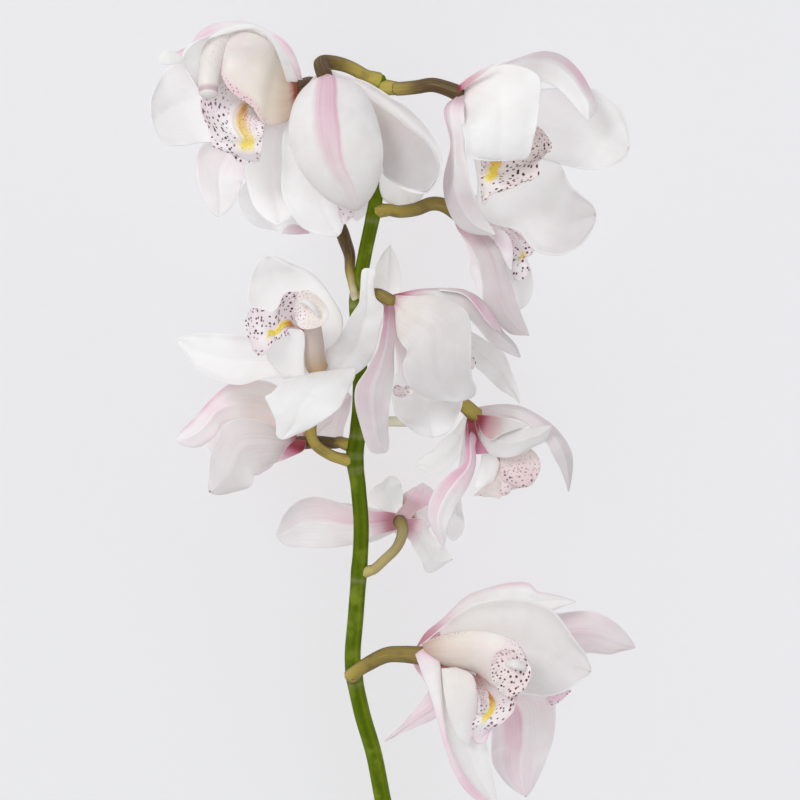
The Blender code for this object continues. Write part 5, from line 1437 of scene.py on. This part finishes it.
def thicken(piece, thickness):
    """Give a sheet its thickness, thin at its edges, and round it off."""
    piece.vertex_groups.new(name="body")
    wall = piece.modifiers.new("thickness", "SOLIDIFY")
    wall.thickness = thickness
    wall.offset = 0.0
    wall.vertex_group = "body"
    wall.thickness_vertex_group = 0.3
    wall.material_offset = 1
    wall.material_offset_rim = 0
    soft = piece.modifiers.new("soft", "SUBSURF")
    soft.levels = 1
    soft.render_levels = 1


def build_petals(name, bloom, looks, given):
    """The sepals and petals of one bloom."""
    shape = new_shape(*PETAL_LAYERS)
    shape.verts.layers.deform.verify()
    half = 500.0 * given.petal_thickness
    for index, drawn in enumerate(bloom["blades"]):
        seed = 7.3 * index + ord(name)
        points = uneven(blade_points(bloom, name, index, half), seed, PETAL_GRAIN, PETAL_UNEVEN)
        points[:, :, 2] = above_table(points[:, :, 2], half)
        add_petal(shape, points, TINTS[name][index], seed, drawn["outer_up"])
    for index, drawn in enumerate(SHEETS.get(name, ())):
        if drawn["kind"] == "petal":
            seed = 5.1 * index + ord(name)
            points = drawn_sheet(drawn, SHEET_STEPS, SHEET_COLUMNS)
            points = uneven(points, seed, PETAL_GRAIN, 0.4 * PETAL_UNEVEN)
            add_petal(shape, points, drawn["tints"], seed, drawn["outer_up"])
    piece = finished_piece(shape, "petals_" + name, looks, ["bloom_" + name])
    thicken(piece, given.petal_thickness)
    return piece


def column_rows(bloom):
    """The column's line and radii, from just ahead of the bloom's base to its cap."""
    points = bloom["column"]
    base = np.array(bloom["base"], dtype=float)
    start = base + unit(np.array(points[0], dtype=float) - base) * COLUMN_START
    radii = bloom.get("column_radii", COLUMN_RADII)
    return [(*place, radius) for place, radius in zip((start, *points), radii)]


def build_column(name, bloom, look):
    """The arched column of one bloom, with its rounded cap, and the anther in front of it if drawn."""
    shape = new_shape("specks", "shade")
    points = rounded_ends(tube_points(column_rows(bloom), COLUMN_RINGS, ROUND_SIDES), 0.3, 0.7)
    specks = np.full(points.shape[:2], 0.0 if name in ANTHERS else 1.0)
    # Painted shade over this column's skin, from COLUMN_PAINTED_SHADES.
    shade = np.full(points.shape[:2], COLUMN_PAINTED_SHADES.get(name, 0.0))
    lay_grid(shape, points, {"specks": specks, "shade": shade})
    if name in ANTHERS:
        points = tube_points(ANTHERS[name], COLUMN_RINGS, ROUND_SIDES, 0.1, 3)
        made = lay_grid(shape, rounded_ends(points, 0.8, 0.8))
        uv = shape.loops.layers.uv.verify()
        for face in {face for vertex in made for face in vertex.link_faces}:
            for loop in face.loops:
                loop[uv].uv.y = 0.95
    return closed_piece(shape, "column_" + name, look, "bloom_" + name)


def lip_root(bloom):
    """Where a lip begins: beside the foot of the column, on the side that the lip lies on."""
    base = np.array(bloom["base"], dtype=float)
    column_way = unit(np.array(bloom["column"][0], dtype=float) - base)
    lip_way = np.array(bloom["lip"]["rows"][0][:3], dtype=float) - base
    below = unit(lip_way - column_way * np.dot(lip_way, column_way))
    offset = bloom.get("lip_offset", LIP_ROOT_OFFSET)
    return base + column_way * (HUB_RADIUS + LIP_ROOT_DEPTH) + below * offset


def profile(values, along):
    """One value, or values spread evenly from foot to tip, at each place along a sheet."""
    values = np.atleast_1d(values)
    return np.interp(along, np.linspace(0.0, 1.0, len(values)), values)


def lip_layers(name, along, across):
    """The colour layers over a lip's trough: spots outside the callus, specks on the side lobes."""
    first, last, wide = CALLUS.get(name, (0.0, 0.0, 1.0))
    edge = np.abs(across)
    beside = np.abs(across - profile(CALLUS_LINES.get(name, (first, last)), along))
    wedge = 0.27 * wide * np.clip((along - 0.1) / 0.5, 0.3, 1.0)
    layers = {
        "spots": np.clip((beside - 0.2 * wide) / 0.08, 0.0, 1.0)
        * np.clip((along - SPOTS_FROM.get(name, 0.38)) / 0.08, 0.0, 1.0),
        "specks": np.clip((edge - 0.3) / 0.1, 0.0, 1.0) * np.clip((along - 0.1) / 0.1, 0.0, 1.0)
        * np.clip((0.5 - along) / 0.08, 0.0, 1.0),
        "callus": np.clip(1.2 - beside / wedge, 0.0, 1.0)
        * np.clip((along - CALLUS_FROM.get(name, 0.22)) / 0.1, 0.0, 1.0)
        * np.clip((0.78 - along) / 0.14, 0.0, 1.0),
        "orange": np.clip((ORANGE_TO.get(name, 0.5) - along) / 0.15, 0.0, 1.0),
        "throat": np.clip((0.3 - along) / 0.2, 0.0, 1.0),
        "pink": 0.25 * np.clip((edge - 0.5) / 0.5, 0.0, 1.0),
        "warm": 0.3 * np.clip((0.4 - along) / 0.3, 0.0, 1.0),
    }
    for title, (times, more) in LIP_TONES.get(name, {}).items():
        layers[title] = profile(times, along) * layers[title] + profile(more, along)
    return layers


def sheet_layers(drawn, along, across):
    """The colour layers over a drawn sheet, from values along it and along its rim."""
    rim = np.clip((np.maximum(across, along * drawn.get("rim_tip", 1.0)) - 0.7) / 0.15, 0.0, 1.0)
    layers = {}
    for title in LIP_LAYERS[1:]:
        layers[title] = profile(drawn["tints"].get(title, 0.0), along)
        if title in drawn.get("rims", ()):
            layers[title] = layers[title] * rim
    return layers


def flat_plan(points):
    """How far each point of a sheet lies beside its middle line, and how far along it, in millimetres."""
    middle = points.shape[1] // 2
    wide = np.zeros(points.shape[:2])
    wide[:, 1:] = np.cumsum(np.linalg.norm(np.diff(points, axis=1), axis=2), axis=1)
    return wide - wide[:, middle:middle + 1], distances(points[:, middle])[:, None] + 0.0 * wide


def add_lip_sheet(shape, points, layers, seed, outer_up):
    """Lay one sheet of a lip with its colour layers, thin at its edges."""
    layers["seed"] = np.full(points.shape[:2], seed)
    wide, long = flat_plan(points)
    layers["wide"] = wide * MM
    layers["long"] = (long + 10.0 * seed) * MM
    verts = lay_grid(shape, points, layers, flip=outer_up > 0)
    across = np.linspace(-1.0, 1.0, points.shape[1])
    set_thinness(shape, verts, np.ones((len(points), 1)) * (1.0 - EDGE_THINNING * np.abs(across) ** 3))


def sheet_places(columns, steps):
    """The places across and along a sheet, at each of its points."""
    return np.meshgrid(np.linspace(-1.0, 1.0, columns + 1), np.linspace(0.0, 1.0, steps + 1))


def build_lip(name, bloom, looks, given):
    """One lip: a trough with side lobes that opens into a ruffled, spotted lobe."""
    shape = new_shape(*LIP_LAYERS, "wide", "long")
    shape.verts.layers.deform.verify()
    drawn = bloom["lip"]
    first, last, _ = CALLUS.get(name, (0.0, 0.0, 1.0))
    points, _ = sheet_points(lip_root(bloom), LIP_ROOT_WIDTH, drawn, LIP_STEPS, LIP_COLUMNS,
                             lambda *place: lip_relief(*place, first + (last - first) * place[0]),
                             500.0 * given.lip_thickness)
    outline = OUTLINES.get(name, {}).get("lip")
    if outline:
        points = fit_outline(points, outline)
    seed = float(ord(name))
    points = uneven(points, seed, LIP_GRAIN, LIP_UNEVEN)
    points[:, :, 2] = above_table(points[:, :, 2], 500.0 * given.lip_thickness)
    across, along = sheet_places(LIP_COLUMNS, LIP_STEPS)
    layers = lip_layers(name, along, across)
    if name in PALE_THROATS:
        layers["throat"] = 0.0 * along
    add_lip_sheet(shape, points, layers, seed, drawn["outer_up"])
    across, along = sheet_places(SHEET_COLUMNS, SHEET_STEPS)
    for index, extra in enumerate(SHEETS.get(name, ())):
        if extra["kind"] == "lip":
            points = uneven(drawn_sheet(extra, SHEET_STEPS, SHEET_COLUMNS), seed + index, LIP_GRAIN,
                            0.6 * LIP_UNEVEN)
            add_lip_sheet(shape, points, sheet_layers(extra, along, across), seed + index, extra["outer_up"])
    piece = finished_piece(shape, "spotted_lip_" + name, looks, ["lip_" + name])
    thicken(piece, given.lip_thickness)
    return piece


def build_stalk(name, bloom, look):
    """One flower stalk, from inside the stem to the back of its bloom."""
    centre, stem_radius, _ = stem_at(bloom["stem_y"])
    way = unit(np.array(bloom["leaves"], dtype=float))
    radius = bloom["stalk"][0][3]
    base = np.array(bloom["base"], dtype=float)
    last = bloom["stalk"][-1]
    inside = base - unit(np.array(last[:3], dtype=float) - base) * 0.8
    rows = [(*(centre + way * stem_radius * 0.3), radius * 1.25),
            (*(centre + way * (stem_radius + 1.8)), radius * 1.08),
            (*(centre + way * (stem_radius + 4.2)), radius), *bloom["stalk"], (*inside, last[3] * 1.12)]
    shape = new_shape("seed", "brown", "pale")
    points = rounded_ends(tube_points(rows, STALK_RINGS, ROUND_SIDES, 0.03, 6), 0.3, 0.6)
    seed = np.full(points.shape[:2], float(ord(name)))
    along = np.linspace(0.0, 1.0, len(points))[:, None] + 0.0 * seed
    brown, pale = (profile(values, along) for values in STALK_TONES[name])
    lay_grid(shape, points, {"seed": seed, "brown": brown, "pale": pale})
    return closed_piece(shape, "flower_stalk_" + name, look, "stalk_" + name)


def build_stem(look):
    """The stem, with a low swelling and a pale joint under each stalk, cut flat at its foot."""
    points = tube_points(STEM_ROWS, STEM_RINGS, ROUND_SIDES, 0.02, 5)
    centres = points[:, :-1].mean(axis=1)
    joint = np.zeros(points.shape[:2])
    for name, bloom in BLOOMS.items():
        near = np.exp(-((centres[:, 1] - bloom["stem_y"]) / 4.0) ** 2)
        points += (points - centres[:, None, :]) * (0.08 * near)[:, None, None]
        pale, place, length = JOINTS.get(name, (0.18, bloom["stem_y"] - 4.0, 1.2))
        joint = np.maximum(joint, pale * np.exp(-((centres[:, 1] - place) / length) ** 2)[:, None])
    closed = rounded_ends(points, 0.0, 0.6)
    added = len(closed) - len(points)
    cut_rings = added // 2
    sides = joint.shape[1]
    joint = np.vstack((np.zeros((cut_rings, sides)), joint, np.zeros((added - cut_rings, sides))))
    cut = np.zeros(closed.shape[:2])
    cut[:cut_rings] = 1.0
    shape = new_shape("seed", "joint", "cut")
    lay_grid(shape, closed, {"seed": np.zeros(closed.shape[:2]), "joint": joint, "cut": cut})
    return closed_piece(shape, "green_stem", look, "stem")


def colour_property(title, words, default):
    """A colour that a user may change."""
    return FloatVectorProperty(name=title, description=words, default=default, size=3, min=0.0, max=1.0,
                               subtype="COLOR")


class PetalSettings(bpy.types.PropertyGroup):
    """Sizes and colours of the petals."""

    petal_thickness: FloatProperty(name="Thickness", description="Thickness at the middle of a petal",
                                   default=0.0009, min=0.0003, max=0.002, precision=5, unit="LENGTH")
    petal_colour: colour_property("Petal", "Main colour", (0.815, 0.812, 0.815))
    petal_shade: colour_property("Petal shade", "Colour of the slow mottling", (0.775, 0.768, 0.76))
    flush_colour: colour_property("Flush", "Even pink flush", (0.76, 0.45, 0.57))
    stripe_colour: colour_property("Stripe", "Stripe and edge", (0.58, 0.19, 0.34))
    foot_colour: colour_property("Foot", "Deep colour at a petal's foot", (0.32, 0.035, 0.06))
    warm_colour: colour_property("Warm", "Cream tone that deepens toward the foot", (0.94, 0.86, 0.77))
    # Painted glow of a petal's thin, lit edge.
    painted_edge_glow_colour: colour_property("Edge", "Thin pale edge", (0.91, 0.90, 0.905))
    # Painted light and painted shade that tone gives each petal.
    painted_light_colour: colour_property("Light", "Tone of the palest petals", (0.97, 0.965, 0.965))
    painted_shade_colour: colour_property("Dim", "Tone that darker petals turn to", (0.72, 0.69, 0.70))
    dot_colour: colour_property("Tip", "Dry dot at a petal's tip", (0.13, 0.06, 0.03))


class LipSettings(bpy.types.PropertyGroup):
    """Sizes and colours of the lips and columns."""

    lip_thickness: FloatProperty(name="Thickness", description="Thickness at the middle of a lip",
                                 default=0.0008, min=0.0003, max=0.002, precision=5, unit="LENGTH")
    spot_spacing: FloatProperty(name="Spot spacing", description="Millimetres from spot to spot",
                                default=2.4, min=1.0, max=8.0)
    spot_size: FloatProperty(name="Spot size", description="Share of the spacing that a spot fills",
                             default=0.14, min=0.05, max=0.6, subtype="FACTOR")
    lip_colour: colour_property("Lip", "Main colour", (0.85, 0.815, 0.82))
    lip_shade: colour_property("Lip shade", "Colour of the slow mottling", (0.81, 0.72, 0.75))
    warm_colour: colour_property("Warm", "Beige of the folded side lobes", (0.79, 0.70, 0.57))
    lip_flush: colour_property("Flush", "Pink flush", (0.72, 0.38, 0.52))
    # Also the painted shade on h's outer lip sheet.
    throat_and_shade_colour: colour_property("Throat", "Colour at the foot of lip and column", (0.30, 0.06, 0.03))
    callus_colour: colour_property("Callus", "Ridges along the lip", (0.86, 0.66, 0.10))
    callus_pale: colour_property("Callus rim", "Fringe of the ridges", (0.84, 0.74, 0.42))
    callus_foot: colour_property("Callus foot", "Ridges in the throat", (0.60, 0.27, 0.07))
    spot_colour: colour_property("Spots", "Large spots on the lip", (0.09, 0.006, 0.03))
    # Also the painted shade ring under a column's cap.
    speck_and_ring_shade_colour: colour_property("Specks", "Small spots on lip and column", (0.32, 0.05, 0.16))
    column_colour: colour_property("Column", "Main colour", (0.80, 0.76, 0.73))
    # Painted shade for the skin of an open bloom's column.
    column_painted_shade: colour_property("Column shade", "Shaded skin of an open bloom's column", (0.40, 0.27, 0.20))
    column_foot: colour_property("Column foot", "Foot of the column", (0.58, 0.36, 0.11))
    cap_colour: colour_property("Cap", "Cap at the column's end", (0.75, 0.725, 0.71))


class StemSettings(bpy.types.PropertyGroup):
    """Colours of the stem and the flower stalks."""

    stem_colour: colour_property("Stem", "Main colour", (0.13, 0.185, 0.002))
    stem_shade: colour_property("Stem shade", "Darker streaks", (0.065, 0.105, 0.001))
    stem_pale: colour_property("Stem pale", "Paler patches", (0.34, 0.40, 0.05))
    joint_colour: colour_property("Joint", "Scar under a stalk", (0.55, 0.50, 0.28))
    cut_colour: colour_property("Cut end", "Tissue at the cut", (0.50, 0.55, 0.25))
    stalk_foot: colour_property("Stalk foot", "Stalk at the stem", (0.34, 0.34, 0.05))
    stalk_colour: colour_property("Stalk", "Main colour of a stalk", (0.46, 0.36, 0.075))
    # Also the painted shade along a stalk's seen edges.
    stalk_brown_and_edge_shade: colour_property("Stalk end", "Stalk near the bloom", (0.095, 0.055, 0.022))
    stalk_pale: colour_property("Stalk pale", "Paler lines", (0.58, 0.50, 0.22))
    stalk_cream: colour_property("Stalk cream", "Stalk that is all pale", (0.74, 0.72, 0.58))


class StageSettings(bpy.types.PropertyGroup):
    """Floor, light and camera."""

    floor_colour: colour_property("Floor", "Main colour", (0.87, 0.87, 0.885))
    sky_strength: FloatProperty(name="Sky", description="Strength of the light from all round",
                                default=0.53, min=0.0, max=5.0)
    key_power: FloatProperty(name="Key light", description="Power of the large light on the flowers",
                             default=60.0, min=0.0, max=900.0, unit="POWER")
    dome_power: FloatProperty(name="Top light", description="Power of the broad light over the flowers",
                              default=55.0, min=0.0, max=900.0, unit="POWER")
    wash_power: FloatProperty(name="Floor light", description="Power of the even light on the floor",
                              default=161.0, min=0.0, max=900.0, unit="POWER")
    field_width: FloatProperty(name="Field", description="Width that the camera takes in",
                               default=0.352, min=0.1, max=2.0, unit="LENGTH")
    lens: FloatProperty(name="Lens", description="Focal length in millimetres", default=280.0,
                        min=20.0, max=1000.0)


class ORCHID_OT_petals(bpy.types.Operator):
    """Make the sepals and petals of every bloom."""

    bl_idname = "orchid.petals"
    bl_label = "Petals"

    def execute(self, context):
        given = context.scene.orchid_petals
        groups = shared_groups()
        looks = [petal_look("petal_back", groups, given, 1.0), petal_look("petal_face", groups, given, 0.6)]
        for name, bloom in BLOOMS.items():
            build_petals(name, bloom, looks, given)
        return {"FINISHED"}


class ORCHID_OT_columns(bpy.types.Operator):
    """Make the column of every bloom."""

    bl_idname = "orchid.columns"
    bl_label = "Columns"

    def execute(self, context):
        look = column_look(shared_groups(), context.scene.orchid_lips)
        for name, bloom in BLOOMS.items():
            build_column(name, bloom, look)
        return {"FINISHED"}


class ORCHID_OT_lips(bpy.types.Operator):
    """Make the lip of every bloom."""

    bl_idname = "orchid.lips"
    bl_label = "Lips"

    def execute(self, context):
        given = context.scene.orchid_lips
        groups = shared_groups()
        looks = [lip_look("lip_back", groups, given, False), lip_look("lip_face", groups, given, True)]
        for name, bloom in BLOOMS.items():
            build_lip(name, bloom, looks, given)
        return {"FINISHED"}


class ORCHID_OT_stalks(bpy.types.Operator):
    """Make the stalk of every bloom."""

    bl_idname = "orchid.stalks"
    bl_label = "Stalks"

    def execute(self, context):
        look = stalk_look(shared_groups(), context.scene.orchid_stem)
        for name, bloom in BLOOMS.items():
            build_stalk(name, bloom, look)
        return {"FINISHED"}


class ORCHID_OT_stem(bpy.types.Operator):
    """Make the stem."""

    bl_idname = "orchid.stem"
    bl_label = "Stem"

    def execute(self, context):
        build_stem(stem_look(shared_groups(), context.scene.orchid_stem))
        return {"FINISHED"}


def add_light(name, place, target, size, power):
    """A large soft light that looks at the target."""
    data = bpy.data.lights.new(name, "AREA")
    data.shape = "DISK"
    data.size = size
    data.energy = power
    light = bpy.data.objects.new(name, data)
    bpy.context.scene.collection.objects.link(light)
    light.location = place
    light.rotation_euler = (Vector(target) - Vector(place)).to_track_quat("-Z", "Y").to_euler()
    return light


class ORCHID_OT_stage(bpy.types.Operator):
    """Make the floor, the lights and the camera."""

    bl_idname = "orchid.stage"
    bl_label = "Stage"

    def execute(self, context):
        given = context.scene.orchid_stage
        shape = bmesh.new()
        bmesh.ops.create_grid(shape, x_segments=1, y_segments=1, size=FLOOR_SIZE)
        mesh = bpy.data.meshes.new("floor")
        shape.to_mesh(mesh)
        shape.free()
        mesh.materials.append(floor_look(given))
        floor = bpy.data.objects.new("floor", mesh)
        context.scene.collection.objects.link(floor)
        world = bpy.data.worlds.new("studio")
        context.scene.world = world
        world.use_nodes = True
        sky = world.node_tree.nodes["Background"]
        sky.inputs["Color"].default_value = (0.985, 0.99, 1.0, 1.0)
        sky.inputs["Strength"].default_value = given.sky_strength
        centre = Vector((-DRAWING_ORIGIN[0], -DRAWING_ORIGIN[1], 0.0)) * MM
        key = add_light("key", centre + Vector((-2.2, 2.0, 3.0)), centre, 1.8, given.key_power)
        dome = add_light("dome", centre + Vector((0.5, -0.5, 3.5)), centre, 5.0, given.dome_power)
        wash = add_light("wash", centre + Vector((0.0, 0.0, 6.0)), centre, 3.0, given.wash_power)
        dome.data.use_shadow = False
        wash.data.use_shadow = False
        for light, lit in ((key, False), (dome, False), (wash, True)):
            chosen = bpy.data.collections.new(light.name + "_lit")
            chosen.objects.link(floor)
            light.light_linking.receiver_collection = chosen
            chosen.collection_objects[0].light_linking.link_state = "INCLUDE" if lit else "EXCLUDE"
        camera = bpy.data.cameras.new("camera")
        camera.lens = given.lens
        camera.sensor_width = SENSOR_WIDTH
        camera.clip_start = 0.05
        camera.clip_end = 60.0
        eye = bpy.data.objects.new("camera", camera)
        context.scene.collection.objects.link(eye)
        eye.location = centre + Vector((0.0, 0.0, 0.055 + given.field_width * given.lens / SENSOR_WIDTH))
        context.scene.camera = eye
        context.scene.view_settings.view_transform = "Standard"
        return {"FINISHED"}


class ORCHID_PT_panel(bpy.types.Panel):
    """The orchid's pieces."""

    bl_idname = "ORCHID_PT_panel"
    bl_label = "Cymbidium Stem"
    bl_space_type = "VIEW_3D"
    bl_region_type = "UI"
    bl_category = "Orchid"

    def draw(self, context):
        for settings, operators in (("orchid_petals", ("orchid.petals",)),
                                    ("orchid_lips", ("orchid.lips", "orchid.columns")),
                                    ("orchid_stem", ("orchid.stem", "orchid.stalks")),
                                    ("orchid_stage", ("orchid.stage",))):
            box = self.layout.box()
            group = getattr(context.scene, settings)
            for name in group.__annotations__:
                box.prop(group, name)
            for operator in operators:
                box.operator(operator)


SETTINGS = {"orchid_petals": PetalSettings, "orchid_lips": LipSettings, "orchid_stem": StemSettings,
            "orchid_stage": StageSettings}
CLASSES = (*SETTINGS.values(), ORCHID_OT_petals, ORCHID_OT_columns, ORCHID_OT_lips, ORCHID_OT_stalks,
           ORCHID_OT_stem, ORCHID_OT_stage, ORCHID_PT_panel)


def register():
    """Add the classes and the scene's settings."""
    for made in CLASSES:
        bpy.utils.register_class(made)
    for name, settings in SETTINGS.items():
        setattr(bpy.types.Scene, name, PointerProperty(type=settings))


def unregister():
    """Take the settings and the classes away."""
    for name in SETTINGS:
        delattr(bpy.types.Scene, name)
    for made in reversed(CLASSES):
        bpy.utils.unregister_class(made)


def main():
    """Make every piece and the stage."""
    register()
    bpy.ops.orchid.stem()
    bpy.ops.orchid.stalks()
    bpy.ops.orchid.columns()
    bpy.ops.orchid.petals()
    bpy.ops.orchid.lips()
    bpy.ops.orchid.stage()


if __name__ == "__main__":
    main()
